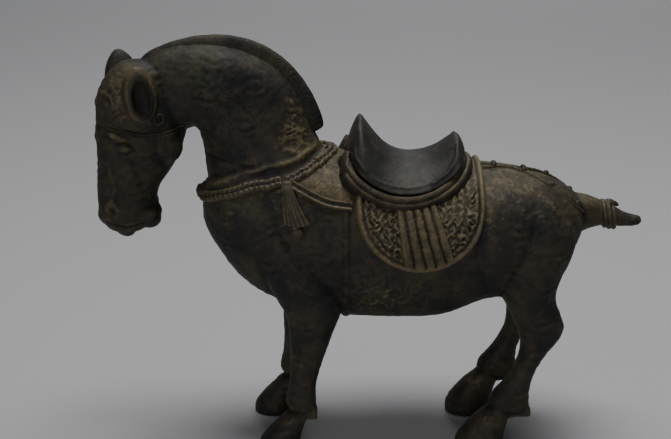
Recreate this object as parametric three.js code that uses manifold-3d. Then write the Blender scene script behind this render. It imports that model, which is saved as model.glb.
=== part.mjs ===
// Saddled horse statuette, cast in bronze sections that are pegged and brazed together.
// Millimetres, +Z up. The origin is on the ground under the middle of the statuette.
// The nose points along -X, the tail along +X, and the horse's left side faces -Y.
import * as THREE from "three";
import { mergeVertices } from "three/addons/utils/BufferGeometryUtils.js";
import Module from "manifold-3d";

const wasm = await Module();
wasm.setup();

// ---------------------------------------------------------------- driving dimensions

const statueLength = 178; // nose to the tip of the tail
const statueHeight = 137; // ground to the top of the arched mane
const trunkWidth = 48; // over the barrel, without the saddle cloth
const legSpread = 28; // between the centres of the left and right legs
const forelegLead = 3; // the right foreleg stands this far ahead of the left one
const headTurn = 14; // degrees that the head turns to the horse's left

const wall = 3.5; // thickness of the hollow trunk and neck castings
const jointGap = 0.3; // left between any two pieces, and filled by braze
const pegRadius = 1.6; // locating pegs of the legs, head, tail and saddle
const pegLength = 5;
const hoofPegRadius = 1.3;
const spigotRadius = 5; // the trunk's spigot in the open foot of the neck
const ventRadius = 1.5; // core vent through the belly

const maneWidth = 5;
const maneRise = 2.1; // how far the clipped mane stands above the neck
const maneSeat = 3; // how deep its groove is cut into the crest

const clothThickness = 1.1;
const hemWidth = 2.2; // raised border of the saddle cloth
const hemRise = 0.7;
const padThickness = 1.1; // each of the two saddle pads
const padStep = 2.1; // each pad shows this much below the one above it
const seatRadius = 22.6; // lower edge of the saddle, seen from the side
const fenderThickness = 0.7; // base plate of the pleated fender
const pleatCount = 5;
const pleatRadius = 1.25;

const strapWidth = 3.2; // breast and withers straps
const strapThickness = 1.3;
const thinStrapWidth = 2;
const girthWidth = 3.6;
const studCount = 4; // along each crupper strap
const studRadius = 1;
const tasselStrands = 5;

// The forms below are tables in millimetres of the sculptor's pattern. Its three overall sizes
// are kept here, and fit() carries a table to the statuette's own sizes.
const pattern = { length: 178, height: 137, width: 48 };
const stretch = new THREE.Vector3(
  statueLength / pattern.length,
  trunkWidth / pattern.width,
  statueHeight / pattern.height,
);
const fit = (x, y, z) => new THREE.Vector3(x, y, z).multiply(stretch);
const legY = legSpread / 2 / stretch.y;

// ---------------------------------------------------------------- form tables
// Each row is one section: centre x, y, z, half depth, half width across Y, and the tilt in
// degrees of the depth direction from +X towards +Z.

const forms = {
  barrel: {
    sides: 18,
    rings: 17,
    stations: [
      [-54.8, 0, 81.4, 3, 4.5, 90],
      [-53.4, 0, 82, 8.5, 10, 90],
      [-49.8, 0, 82, 15, 15, 90],
      [-44, 0, 79.5, 21.6, 18.3, 90],
      [-36, 0, 77, 25.4, 20, 90],
      [-24, 0, 74.2, 27.8, 21.2, 90],
      [-12, 0, 72.4, 28.2, 22.3, 90],
      [0, 0, 69.2, 25.2, 23.5, 90],
      [12, 0, 67.8, 23.8, 24, 90],
      [24, 0, 68.8, 24.4, 23.8, 90],
      [31, 0, 71.2, 23.2, 23.2, 90],
      [36, 0, 72.4, 22.2, 22.8, 90],
      [44, 0, 72.4, 21.6, 22.2, 90],
      [54, 0, 73.2, 18.6, 19.6, 90],
      [62, 0, 74.6, 13.6, 15.2, 90],
      [67, 0, 76.6, 8, 9.6, 90],
      [69, 0, 77.6, 3, 4.2, 90],
    ],
  },
  neckRoot: {
    sides: 16,
    rings: 2,
    stations: [
      [-32, 0, 80.4, 17, 15, 16],
      [-33.5, 0, 86.4, 19.2, 15.6, 20],
      [-34.6, 0, 93.6, 20.2, 15.2, 24],
    ],
  },
  neck: {
    sides: 16,
    rings: 13,
    stations: [
      [-34.6, 0, 93.6, 20.2, 15.2, 24],
      [-36.8, 0, 100.4, 18.2, 13, 23],
      [-37.9, 0, 106.9, 17.5, 11.8, 24],
      [-40.9, 0, 114.9, 16.7, 11, 33],
      [-46.3, 0, 119.8, 15, 10.5, 50],
      [-53.5, 0, 121.8, 13.6, 10, 74],
      [-61.5, 0, 120.7, 13.4, 9.6, 103],
      [-66.5, 0, 119.2, 12.6, 9.3, 108],
      [-71.5, 0, 117.4, 11.4, 8.8, 112],
    ],
  },
  head: {
    sides: 16,
    rings: 17,
    stations: [
      [-75, 0, 129.4, 3.5, 4, 0],
      [-74.6, 0, 127.4, 8, 7.4, 0],
      [-74.4, 0, 122.9, 11.6, 9.2, 0],
      [-74.5, 0, 117.4, 13.9, 9.6, 0],
      [-74, 0, 111.4, 14.5, 9.4, 0],
      [-74.4, 0, 105.4, 14.9, 8.8, 0],
      [-75.3, 0, 99.4, 13.6, 7.9, 0],
      [-76.8, 0, 94.4, 12.4, 7, 0],
      [-79.4, 0, 89.4, 10.4, 6.4, 0],
      [-79.5, 0, 84.4, 9.4, 6.4, 0],
      [-79.1, 0, 79.6, 10, 7, 0],
      [-78.3, 0, 75.9, 8.2, 6.2, 0],
      [-77.8, 0, 73.4, 4.6, 4, 0],
    ],
  },
  foreleg: {
    sides: 11,
    rings: 14,
    stations: [
      [-26.5, legY - 5, 88, 4, 3, 0],
      [-26.5, legY - 3.8, 84, 10, 7, 0],
      [-26.3, legY - 2.6, 76.4, 14.2, 9.3, 0],
      [-24, legY - 1.4, 64.4, 13.6, 9.3, 0],
      [-20.5, legY - 0.6, 54.4, 11, 8.2, 0],
      [-18.9, legY, 48.4, 8.8, 7.2, 0],
      [-20, legY, 42.4, 7.2, 6.2, 0],
      [-21, legY, 35.4, 5.9, 5.4, 0],
      [-22.2, legY, 27.4, 4.5, 4.6, 0],
      [-23.1, legY, 21.4, 4.2, 4.3, 0],
      [-23.6, legY, 16.4, 5, 5, 0],
      [-23.7, legY, 12.4, 4.9, 4.8, 0],
    ],
  },
  foreHoof: {
    sides: 11,
    rings: 5,
    stations: [
      [-30.8, legY, 0, 6, 5.6, 0],
      [-30.8, legY, 2.8, 6.8, 6.3, 0],
      [-28.8, legY, 6.6, 5.7, 5.6, 0],
      [-26.4, legY, 10.4, 4.5, 4.8, 0],
      [-24.6, legY, 15, 3.4, 3.8, 0],
    ],
  },
  hindleg: {
    sides: 11,
    rings: 17,
    stations: [
      [49, legY - 5.5, 90, 4, 3, 0],
      [49.5, legY - 4.2, 86, 10, 7, 0],
      [50.8, legY - 2.4, 76.4, 15.4, 9.7, 0],
      [50.8, legY - 1.6, 67.4, 13.4, 9.2, 0],
      [50, legY - 0.8, 59.4, 9.9, 8.2, 0],
      [50.6, legY - 0.3, 53.4, 8.1, 7, 0],
      [53, legY, 48.4, 8.1, 6.2, 0],
      [55.2, legY, 43.9, 8, 5.6, 0],
      [54.9, legY, 39.4, 6.2, 5, 0],
      [52.6, legY, 34.4, 4.2, 4.4, 0],
      [50.6, legY, 29.4, 3.7, 4.1, 0],
      [48.2, legY, 24.4, 4.2, 4.3, 0],
      [46.2, legY, 20.4, 5.9, 4.9, 0],
      [45.2, legY, 16.6, 7.1, 5.3, 0],
      [45.6, legY, 12.8, 6.7, 5.1, 0],
    ],
  },
  hindHoof: {
    sides: 11,
    rings: 6,
    stations: [
      [36.2, legY, 0, 7.5, 6, 0],
      [36, legY, 2.8, 8.3, 6.8, 0],
      [36.9, legY, 6.6, 7.5, 6.3, 0],
      [38.4, legY, 10.4, 6.7, 5.7, 0],
      [41, legY, 14.4, 5.8, 5, 0],
      [43.5, legY, 18, 3.8, 3.8, 0],
    ],
  },
  tail: {
    sides: 10,
    rings: 8,
    stations: [
      [62, 0, 76.9, 8, 8, 90],
      [67.5, 0, 78.2, 7, 6.4, 84],
      [72, 0, 78.6, 5, 4.6, 80],
      [77, 0, 77.8, 3.6, 3.6, 78],
      [82, 0, 76.2, 2.5, 2.6, 84],
      [86, 0, 75.6, 1.9, 2, 94],
      [88.8, 0, 76, 1.2, 1.4, 100],
    ],
  },
};

// Where a section's casting ends: a point of the joint plane in the side view, and its tilt.
const joints = {
  neck: { x: -34.6, z: 93.6, tilt: 24 },
  foreleg: { x: -19, z: 51.4, tilt: 0, peg: [-20.5, 0.5] },
  hindleg: { x: 50, z: 50, tilt: 0, peg: [51.5, 0.5] },
  foreHoof: { x: -29.6, z: 11.6, tilt: -28, peg: [-25.2, 0] },
  hindHoof: { x: 36.5, z: 16.2, tilt: -34, peg: [40.6, 0] },
};

// Heights over the skin of the layers on the horse's back.
const clothTop = jointGap + clothThickness;
const lowerPad = clothTop + jointGap;
const upperPad = lowerPad + padThickness + jointGap;
const seatFloor = upperPad + padThickness + jointGap;

// ---------------------------------------------------------------- solids

// A closed geometry as a solid for joining and cutting.
function solid(geometry) {
  const bare = geometry.clone();
  bare.deleteAttribute("normal");
  bare.deleteAttribute("uv");
  const merged = mergeVertices(bare, 1e-4);
  return new wasm.Manifold(
    new wasm.Mesh({
      numProp: 3,
      vertProperties: new Float32Array(merged.attributes.position.array),
      triVerts: new Uint32Array(merged.index.array),
    }),
  );
}

const join = (...solids) => solids.flat().reduce((all, next) => all.add(next));
const cut = (first, ...solids) => solids.flat().reduce((all, next) => all.subtract(next), first);

// A form's skin through its sections, grown outwards by `grow` and at the ends by `reach`.
function loft({ stations, sides, rings, squareness = 2.25 }, grow, side, lead, reach) {
  const centres = new THREE.CatmullRomCurve3(
    stations.map(([x, y, z]) => fit(x - lead, y * side, z)),
  );
  const sizes = new THREE.CatmullRomCurve3(stations.map((s) => new THREE.Vector3(s[3], s[4], s[5])));
  const bend = (value) => Math.sign(value) * Math.abs(value) ** (2 / squareness);
  const positions = [];
  const index = [];
  for (let ring = 0; ring <= rings; ring++) {
    const along = ring / rings;
    const size = sizes.getPoint(along);
    const tilt = THREE.MathUtils.degToRad(size.z);
    const depth = new THREE.Vector3(Math.cos(tilt), 0, Math.sin(tilt)).multiply(stretch);
    const halfDepth = Math.max(0.2, size.x * depth.length() + grow);
    const halfWidth = Math.max(0.2, size.y * stretch.y + grow);
    depth.normalize();
    const centre = centres.getPoint(along);
    centre.addScaledVector(centres.getTangent(along), reach * (2 * along - 1));
    for (let corner = 0; corner < sides; corner++) {
      const turn = (corner / sides) * 2 * Math.PI;
      const point = centre.clone().addScaledVector(depth, bend(Math.cos(turn)) * halfDepth);
      point.y += bend(Math.sin(turn)) * halfWidth;
      positions.push(...point.toArray());
    }
    if (ring === 0 || ring === rings) positions.push(...centre.toArray());
  }
  // The first ring's centre follows it, so later rings start one vertex further on.
  const start = (ring) => ring * sides + (ring > 0 ? 1 : 0);
  const last = start(rings);
  for (let corner = 0; corner < sides; corner++) {
    const next = (corner + 1) % sides;
    for (let ring = 0; ring < rings; ring++) {
      const [near, far] = [start(ring), start(ring + 1)];
      index.push(near + corner, far + corner, near + next);
      index.push(near + next, far + corner, far + next);
    }
    index.push(sides, corner, next, last + sides, last + next, last + corner);
  }
  // The caps and sides above face inwards when the sections run along their own normal.
  const tilt = THREE.MathUtils.degToRad(stations[0][5]);
  const normal = new THREE.Vector3(-Math.sin(tilt), 0, Math.cos(tilt));
  if (normal.dot(centres.getTangent(0)) > 0) index.reverse();
  const geometry = new THREE.BufferGeometry();
  geometry.setAttribute("position", new THREE.Float32BufferAttribute(positions, 3));
  geometry.setIndex(index);
  return geometry;
}

// The head turns about an upright line through the poll.
const poll = fit(-62, 0, 0);
const turned = (geometry) =>
  geometry
    .translate(-poll.x, 0, 0)
    .rotateZ(THREE.MathUtils.degToRad(headTurn))
    .translate(poll.x, 0, 0);

const formed = new Map();
function form(name, grow = 0, side = 1, reach = grow) {
  const key = [name, grow, side, reach].join();
  if (!formed.has(key)) {
    const lead = name.startsWith("fore") && side > 0 ? forelegLead / stretch.x : 0;
    const geometry = loft(forms[name], grow, side, lead, reach);
    formed.set(key, solid(name === "head" ? turned(geometry) : geometry));
  }
  return formed.get(key);
}

// The half of space above a joint plane, which is lifted by `shift`.
function above({ x, z, tilt }, shift = 0) {
  const block = new THREE.BoxGeometry(400, 400, 400).translate(0, 0, 200 + shift);
  const slope = Math.atan2(
    Math.sin(THREE.MathUtils.degToRad(tilt)) * stretch.z,
    Math.cos(THREE.MathUtils.degToRad(tilt)) * stretch.x,
  );
  return solid(block.rotateY(-slope).translate(...fit(x, 0, z).toArray()));
}

// A closed outline in the side view as a block from y0 to y1.
function block(outline, y0 = -60, y1 = 60) {
  const shape = new THREE.Shape(outline.map(([x, z]) => new THREE.Vector2(x, z)));
  const geometry = new THREE.ExtrudeGeometry(shape, { depth: y1 - y0, bevelEnabled: false });
  return solid(geometry.rotateX(Math.PI / 2).translate(0, y1, 0));
}
const scaled = (outline) => outline.map(([x, z]) => [x * stretch.x, z * stretch.z]);

// A strip of even width along a smooth path in the side view.
function strip(path, width, steps = 7) {
  const curve = new THREE.SplineCurve(scaled(path).map(([x, z]) => new THREE.Vector2(x, z)));
  const upper = [];
  const lower = [];
  for (let step = 0; step <= steps; step++) {
    const point = curve.getPoint(step / steps);
    const tangent = curve.getTangent(step / steps);
    const across = new THREE.Vector2(-tangent.y, tangent.x).multiplyScalar(width / 2);
    upper.push(point.clone().add(across).toArray());
    lower.unshift(point.clone().sub(across).toArray());
  }
  return [...upper, ...lower];
}

function rod(radius, from, to, sides = 10) {
  const axis = to.clone().sub(from);
  const geometry = new THREE.CylinderGeometry(radius, radius, axis.length(), sides);
  geometry.translate(0, axis.length() / 2, 0);
  geometry.applyQuaternion(
    new THREE.Quaternion().setFromUnitVectors(new THREE.Vector3(0, 1, 0), axis.normalize()),
  );
  return solid(geometry.translate(...from.toArray()));
}

const ball = (centre, radii, [across, down] = [10, 6]) =>
  solid(
    new THREE.SphereGeometry(1, across, down)
      .scale(...radii)
      .translate(...centre.toArray()),
  );

// The half of space on one side of the statuette: -1 is its left.
const half = (side) =>
  solid(new THREE.BoxGeometry(400, 200, 400).translate(0, side * 100.15, 0));

// ---------------------------------------------------------------- materials

const finish = (color, roughness) =>
  new THREE.MeshStandardMaterial({ color, roughness, metalness: 0.85 });
const bronze = finish(0x35322a, 0.5);
const rubbed = finish(0x7d6535, 0.42);
const slate = finish(0x3c4248, 0.38);

const group = new THREE.Group();

function add(name, piece, material) {
  const made = piece.getMesh();
  const position = new Float32Array(made.numVert * 3);
  for (let i = 0; i < made.numVert; i++) {
    position.set(made.vertProperties.subarray(i * made.numProp, i * made.numProp + 3), i * 3);
  }
  const geometry = new THREE.BufferGeometry();
  geometry.setAttribute("position", new THREE.BufferAttribute(position, 3));
  geometry.setIndex(new THREE.BufferAttribute(made.triVerts, 1));
  const mesh = new THREE.Mesh(geometry, material);
  mesh.name = name;
  group.add(mesh);
}

const bothSides = [
  [-1, "left"],
  [1, "right"],
];
const sidesOf = (name, grow) => bothSides.map(([side]) => form(name, grow, side));

// ---------------------------------------------------------------- legs and hooves

// A peg stands on a joint plane, under the middle of the section above it.
function legPeg(name, side, radius, grow = 0) {
  const { z, peg } = joints[name];
  const lead = name.startsWith("fore") && side > 0 ? forelegLead : 0;
  const foot = fit(peg[0], side * (legY - peg[1]), z);
  foot.x -= lead;
  const down = foot.clone().setZ(foot.z - 6);
  return rod(radius + grow, down, foot.clone().setZ(foot.z + pegLength + grow));
}

function hoofPlane(name, side) {
  const lead = side > 0 && name.startsWith("fore") ? forelegLead / stretch.x : 0;
  return { ...joints[name], x: joints[name].x - lead };
}

function hoof(name, side, grow = 0) {
  const capped = form(name, grow, side).subtract(above(hoofPlane(name, side), grow));
  return capped.add(legPeg(name, side, hoofPegRadius, grow));
}

function leg(name, hoofName, side) {
  const fetlock = form(hoofName, 0, side).intersect(above(hoofPlane(hoofName, side)));
  const shank = cut(form(name, 0, side), above(joints[name])).add(fetlock);
  return cut(shank, hoof(hoofName, side, jointGap)).add(legPeg(name, side, pegRadius));
}

// What the trunk gives up to a leg: its seat and its peg.
function legSeat(name, side) {
  const seat = cut(form(name, jointGap, side), above(joints[name], jointGap));
  return seat.add(legPeg(name, side, pegRadius, jointGap));
}

for (const [side, word] of bothSides) {
  add(`${word}_foreleg`, leg("foreleg", "foreHoof", side), bronze);
  add(`${word}_hind_leg`, leg("hindleg", "hindHoof", side), bronze);
  add(`${word}_fore_hoof`, hoof("foreHoof", side), bronze);
  add(`${word}_hind_hoof`, hoof("hindHoof", side), bronze);
}

// ---------------------------------------------------------------- trunk, neck, head, tail

const neckAxis = new THREE.Vector3(
  -Math.sin(THREE.MathUtils.degToRad(joints.neck.tilt)),
  0,
  Math.cos(THREE.MathUtils.degToRad(joints.neck.tilt)),
);
const neckFoot = fit(-33, 0, 94.3);
const alongNeck = (distance) => neckFoot.clone().addScaledVector(neckAxis, distance);
const spigot = (grow) => rod(spigotRadius + grow, alongNeck(-6), alongNeck(pegLength + grow), 14);

const tailPeg = (grow) => rod(pegRadius + grow, fit(63, 0, 77.4).setX(63 * stretch.x - grow),
  fit(74, 0, 78.4));
const headPeg = (grow) => rod(pegRadius + grow, fit(-58, 0, 118.5), fit(-70, -1.6, 117.5)
  .add(new THREE.Vector3(-grow, 0, 0)));
const saddlePin = (grow) => rod(pegRadius + grow, fit(11, 0, 86).setZ(86 * stretch.z - grow),
  fit(11, 0, 110));

forms.core = { ...forms.barrel, sides: 8, rings: 8 };
const cavity = cut(
  form("core", -wall),
  sidesOf("foreleg", 1),
  sidesOf("hindleg", 1),
  rod(pegRadius + 2.2, fit(11, 0, 83), fit(11, 0, 110)),
  rod(pegRadius + 2.2, fit(60, 0, 77.2), fit(80, 0, 78.6)),
  above(joints.neck, -2 * wall),
).add(rod(ventRadius, fit(8, 0, 30), fit(8, 0, 60)));

// A leg's muscle runs on up the trunk above the joint plane.
const haunches = (grow) => [
  ...sidesOf("foreleg", grow).map((s) => s.intersect(above(joints.foreleg, -grow))),
  ...sidesOf("hindleg", grow).map((s) => s.intersect(above(joints.hindleg, -grow))),
];
const seats = bothSides.flatMap(([side]) => [legSeat("foreleg", side), legSeat("hindleg", side)]);
const trunk = cut(
  join(form("barrel"), form("neckRoot"), haunches(0)),
  above(joints.neck),
  cavity,
  seats,
  tailPeg(jointGap),
  saddlePin(jointGap),
);
add("trunk", trunk.add(spigot(0)), bronze);

// The neck, its core cavity open at the foot, and the groove that seats the mane.
forms.neckCore = { ...forms.neck, sides: 8, rings: 8 };
const neckCavity = join(
  form("neckCore", -wall).subtract(form("head", wall)),
  rod(spigotRadius + jointGap, alongNeck(-2), alongNeck(12), 14),
);
const maneFoot = { x: -18, z: 104.6, tilt: 10 };
const neckLine = forms.neck.stations.map(([x, , z]) => [x, z]);
const throatSide = block(scaled([...neckLine, [-95, 110], [-95, 60], [-50, 60]]));

// A strip over the crest, as high as `top` and as deep as `floor` from the neck's skin. It
// stops short of the withers in a step.
function crest(top, floor, grow) {
  const slab = new THREE.BoxGeometry(400, maneWidth + 2 * grow, 400);
  const strand = form("neck", top).intersect(solid(slab)).intersect(above(maneFoot, -grow));
  return cut(strand, form("neck", floor, 1, 1), throatSide);
}
const neck = cut(
  form("neck").intersect(above(joints.neck, jointGap)),
  form("head", jointGap),
  neckCavity,
  crest(6, -maneSeat - jointGap, jointGap),
);
add("neck", neck.add(cut(headPeg(0), neckCavity)), bronze);
add("mane", cut(
  crest(maneRise, -maneSeat, 0),
  form("head", jointGap),
), bronze);
add("head", cut(form("head"), headPeg(jointGap)), bronze);

const tailForm = cut(form("tail"), form("barrel", jointGap), haunches(jointGap));
add("tail", tailForm.add(tailPeg(0)), bronze);
const knot = ball(fit(77.4, 0, 81.6), [2.2, 2, 1.8]);
const binding = form("tail", 1.2).intersect(block(scaled([[75.6, 60], [79, 60], [79, 90], [75.6, 90]])));
add("tail_binding", cut(binding.add(knot), form("tail", jointGap)), rubbed);

// Ears: a leaf with a hollow on its outer side, standing on the poll.
const leaf = [[0, -3.4], [2.6, -1.8], [4.1, 2.2], [3.8, 6.8], [2, 11.8], [0, 14.8]];
for (const [side, word] of bothSides) {
  const outline = leaf.map(([x, z]) => new THREE.Vector2(x, z));
  const ear = new THREE.LatheGeometry(outline, 10).rotateX(Math.PI / 2).scale(1, 0.72, 1);
  const scoop = ear.clone().scale(0.72, 1, 0.74).translate(0, side * 1.7, 1.4);
  const place = (geometry) =>
    turned(
      geometry
        .rotateY(THREE.MathUtils.degToRad(-14))
        .rotateX(THREE.MathUtils.degToRad(-16 * side))
        .translate(...fit(-75.6, side * 8.2, 116.4).toArray()),
    );
  add(`${word}_ear`, cut(solid(place(ear)), solid(place(scoop)), form("head", jointGap)), bronze);
}

// ---------------------------------------------------------------- harness

// The outer skin of all the sections, grown outwards.
const skins = new Map();
function skin(grow) {
  if (!skins.has(grow)) {
    const parts = ["barrel", "neckRoot", "neck", "tail"].map((name) => form(name, grow));
    skins.set(grow, join(parts, haunches(grow)));
  }
  return skins.get(grow);
}
// The part of the layer between two skins that lies under a side-view block.
const layer = (region, from, to) => cut(region.intersect(skin(to)), skin(from));

const circle = (x, z, radius, steps = 24) =>
  Array.from({ length: steps }, (_, step) => {
    const turn = (step / steps) * 2 * Math.PI;
    return [x * stretch.x + radius * Math.cos(turn), z * stretch.z + radius * Math.sin(turn)];
  });

const breastPath = [[-60, 85.2], [-51, 86.6], [-44, 90.2], [-38.7, 92.8], [-33, 94.6], [-28.4, 95.4]];
const withersPath = [[-27.9, 95.4], [-20, 97.8], [-13.8, 99.4], [-12, 105]];
const shoulderPath = [[-24.6, 92.8], [-19.9, 90], [-13.7, 87.6], [-7.2, 86.4]];
const cruppers = [[35.9, 94.5], [45.3, 93.6], [55, 90.6], [63, 85.4], [68.6, 80.6]];
const strapTop = jointGap + strapThickness;

add("breast_strap", layer(block(strip(breastPath, strapWidth)), jointGap, strapTop), rubbed);
add("chest_boss", cut(ball(fit(-55.6, 0, 86), [2.2, 2.3, 2.3]), skin(strapTop + jointGap)), rubbed);
const withersBand = (grow) => block(strip(withersPath, strapWidth + 2 * grow));
add("withers_strap", cut(
  layer(withersBand(0), jointGap, strapTop),
  block(strip(breastPath, strapWidth + 2 * jointGap)),
), rubbed);

const girthX = [-11, -11 + girthWidth / stretch.x];
const girthBand = block(
  scaled([[girthX[0], 20], [girthX[1], 20], [girthX[1], 84.6], [girthX[0], 84.6]]),
);
add("girth", cut(layer(girthBand, jointGap, 1.3), sidesOf("foreleg", jointGap)), bronze);

for (const [side, word] of bothSides) {
  const flank = half(side);
  add(`${word}_shoulder_strap`, cut(
    layer(block(strip(shoulderPath, thinStrapWidth)).intersect(flank), jointGap, 1.4),
    withersBand(jointGap),
    block(strip(breastPath, strapWidth + 2 * jointGap)),
  ), rubbed);

  const strap = layer(block(strip(cruppers, thinStrapWidth)).intersect(flank), jointGap, 1.2);
  const studPath = new THREE.SplineCurve(cruppers.map(([x, z]) => new THREE.Vector2(x, z)));
  const studs = Array.from({ length: studCount }, (_, i) => {
    const at = studPath.getPoint((i + 0.5) / studCount);
    return layer(block(circle(at.x, at.y, studRadius, 6)).intersect(flank), jointGap, 1.9);
  });
  add(`${word}_crupper_strap`, join(strap, studs), rubbed);

  // The strands of a tassel hang from the breast strap and spread downwards.
  const strands = Array.from({ length: tasselStrands }, (_, i) => {
    const lean = (i - (tasselStrands - 1) / 2) / tasselStrands;
    const path = [[-27.3 + 2.4 * lean, 92.2], [-24 + 6.6 * lean, 79.6]];
    return block(strip(path, 0.95, 1));
  });
  const backing = block(scaled([[-28.8, 92.2], [-25.8, 92.2], [-20.8, 80], [-26.8, 79.6]]));
  const bell = block(circle(-23.9, 78.4, 2, 9));
  add(`${word}_tassel`, join(
    layer(backing.intersect(flank), jointGap, 0.8),
    strands.map((strand) => layer(strand.intersect(flank), jointGap, 1.7)),
    layer(bell.intersect(flank), jointGap, 2.3),
  ), rubbed);
}

// Cheek straps of the bridle lie on the turned head.
const cheekPath = [[-83, 109.4], [-76, 107.8], [-68, 107.4], [-60, 108.6]];
for (const [side, word] of bothSides) {
  const outline = strip(cheekPath, thinStrapWidth).map(([x, z]) => new THREE.Vector2(x, z));
  const band = new THREE.ExtrudeGeometry(new THREE.Shape(outline), {
    depth: 30,
    bevelEnabled: false,
  }).rotateX(Math.PI / 2).translate(0, side > 0 ? 30 : 0, 0);
  add(`${word}_cheek_strap`, cut(
    solid(turned(band)).intersect(form("head", 1.2)),
    form("head", jointGap),
    form("neck", jointGap),
  ), rubbed);
}

// ---------------------------------------------------------------- saddle and cloth

const flapCentre = [15, 87.2];
const flapRadius = 20.2;
const seatCentre = [10.5, 113];

// The cloth hangs as a half round flap on each side and runs on over the back.
function clothOutline(inset) {
  const radius = flapRadius - inset;
  const bottom = Array.from({ length: 15 }, (_, step) => {
    const turn = Math.PI * (1 + step / 14);
    return [
      flapCentre[0] * stretch.x + radius * Math.cos(turn),
      flapCentre[1] * stretch.z + radius * Math.sin(turn),
    ];
  });
  const [front, rear] = [bottom[0], bottom.at(-1)];
  return [...bottom, [rear[0] + 0.4, 99 * stretch.z], [rear[0] + 0.4, 125], [front[0] - 3, 125],
    [front[0] - 2.6, 99 * stretch.z]];
}
const [padFront, padRear] = [-9 * stretch.x, 33 * stretch.x];
const padRegion = (steps, grow = 0) =>
  block(circle(...seatCentre, seatRadius + steps * padStep + grow, 32)).intersect(
    block([[padFront - grow, 60], [padRear + grow, 60], [padRear + grow, 125],
      [padFront - grow, 125]]),
  );

const scrollRise = 0.7;
const ring = (x, z, radius) =>
  cut(block(circle(x, z, radius, 8)), block(circle(x, z, radius - 0.9, 6)));
const scrolls = [
  [-0.6, 85.2, 2.6], [1, 79.6, 2.8], [5.2, 74.4, 2.4], [5.4, 81, 2],
  [31, 86.4, 2.6], [29.8, 80.4, 2.8], [27.6, 75.6, 1.9], [25.4, 83.8, 2.1],
].map(([x, z, radius]) => ring(x, z, radius));
const hem = cut(block(clothOutline(0)), block(clothOutline(hemWidth)));
const pinHole = saddlePin(jointGap);
add("saddle_cloth", cut(
  join(
    layer(block(clothOutline(0)), jointGap, clothTop),
    cut(layer(hem, jointGap, clothTop + hemRise), padRegion(2, jointGap)),
    scrolls.map((scroll) =>
      cut(layer(scroll, jointGap, clothTop + scrollRise), padRegion(2, jointGap)),
    ),
  ),
  pinHole,
), bronze);
add("lower_saddle_pad", cut(
  layer(padRegion(2), lowerPad, lowerPad + padThickness), pinHole), rubbed);
add("upper_saddle_pad", cut(
  layer(padRegion(1), upperPad, upperPad + padThickness), pinHole), rubbed);

forms.seat = {
  sides: 20,
  rings: 16,
  squareness: 2.1,
  stations: [
    [-9.2, 0, 80, 20, 14, 90],
    [-7.4, 0, 80, 26.4, 17, 90],
    [-4.4, 0, 80, 31.9, 19, 90],
    [-0.6, 0, 80, 26.6, 20.6, 90],
    [3.4, 0, 80, 21.6, 22.2, 90],
    [8, 0, 80, 18.8, 23.2, 90],
    [13, 0, 80, 18.3, 23.4, 90],
    [18.4, 0, 80, 19.4, 23, 90],
    [22.8, 0, 80, 22, 22, 90],
    [26.8, 0, 80, 25.6, 20.2, 90],
    [29.4, 0, 80, 22, 18, 90],
    [30.6, 0, 80, 18, 16, 90],
  ],
};
const seat = form("seat").intersect(block(circle(...seatCentre, seatRadius, 36)));
add("saddle", cut(seat, skin(seatFloor)).add(saddlePin(0).intersect(form("seat"))), slate);

// The pleats fan out from the pads down to the hem.
const fenderTop = { front: 7.4, rear: 18.8, z: 92 };
const fenderFoot = { front: 10.6, rear: 26.4, z: 69 };
const along = ({ front, rear, z }, share) => [THREE.MathUtils.lerp(front, rear, share), z];
const slice = (from, to) =>
  block(scaled([
    along(fenderTop, from), along(fenderTop, to), along(fenderFoot, to), along(fenderFoot, from),
  ]));
const within = block(circle(...flapCentre, flapRadius - hemWidth - 0.5, 28));
const panel = cut(slice(0, 1).intersect(within), padRegion(2, jointGap));
const pleats = Array.from({ length: pleatCount }, (_, i) =>
  slice((i + 0.14) / pleatCount, (i + 0.86) / pleatCount),
);
for (const [side, word] of bothSides) {
  const region = panel.intersect(half(side));
  add(`${word}_fender`, join(
    layer(region, lowerPad, lowerPad + fenderThickness),
    pleats.map((pleat) => layer(pleat.intersect(region), lowerPad, lowerPad + pleatRadius + 0.4)),
  ), bronze);
}

export default group;
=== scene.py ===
import bpy, bmesh, math
import numpy as np
from mathutils import Vector, Matrix, noise
from mathutils.bvhtree import BVHTree
from mathutils.kdtree import KDTree


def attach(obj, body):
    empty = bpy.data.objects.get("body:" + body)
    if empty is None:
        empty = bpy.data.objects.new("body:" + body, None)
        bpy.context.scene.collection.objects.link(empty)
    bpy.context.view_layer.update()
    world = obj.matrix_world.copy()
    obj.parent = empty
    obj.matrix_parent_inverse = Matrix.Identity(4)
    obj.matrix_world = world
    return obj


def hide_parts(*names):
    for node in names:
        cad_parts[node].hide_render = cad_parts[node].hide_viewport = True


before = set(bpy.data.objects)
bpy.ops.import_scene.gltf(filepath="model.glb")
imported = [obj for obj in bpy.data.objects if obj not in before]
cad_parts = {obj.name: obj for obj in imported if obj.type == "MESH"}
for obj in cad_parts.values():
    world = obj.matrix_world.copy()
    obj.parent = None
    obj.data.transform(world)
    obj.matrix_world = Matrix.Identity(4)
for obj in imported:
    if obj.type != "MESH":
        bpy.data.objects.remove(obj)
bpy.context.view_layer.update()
noise.seed_set(11)  # the veins in the metal come out the same every time
mm = 0.001  # every size below is in mm, and the scene is in metres
sides = {"left": -1, "right": 1}


def clearSelection():
    if bpy.context.object and bpy.context.object.mode != "OBJECT":
        bpy.ops.object.mode_set(mode="OBJECT")
    for thing in list(bpy.context.selected_objects):
        thing.select_set(False)


def pick(*things):
    clearSelection()
    for thing in things:
        thing.select_set(True)
    bpy.context.view_layer.objects.active = things[0]


def modify(piece, kind, **settings):
    modifier = piece.modifiers.new(kind.lower(), kind)
    for key, value in settings.items():
        setattr(modifier, key, value)
    pick(piece)
    bpy.ops.object.modifier_apply(modifier=modifier.name)


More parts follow.
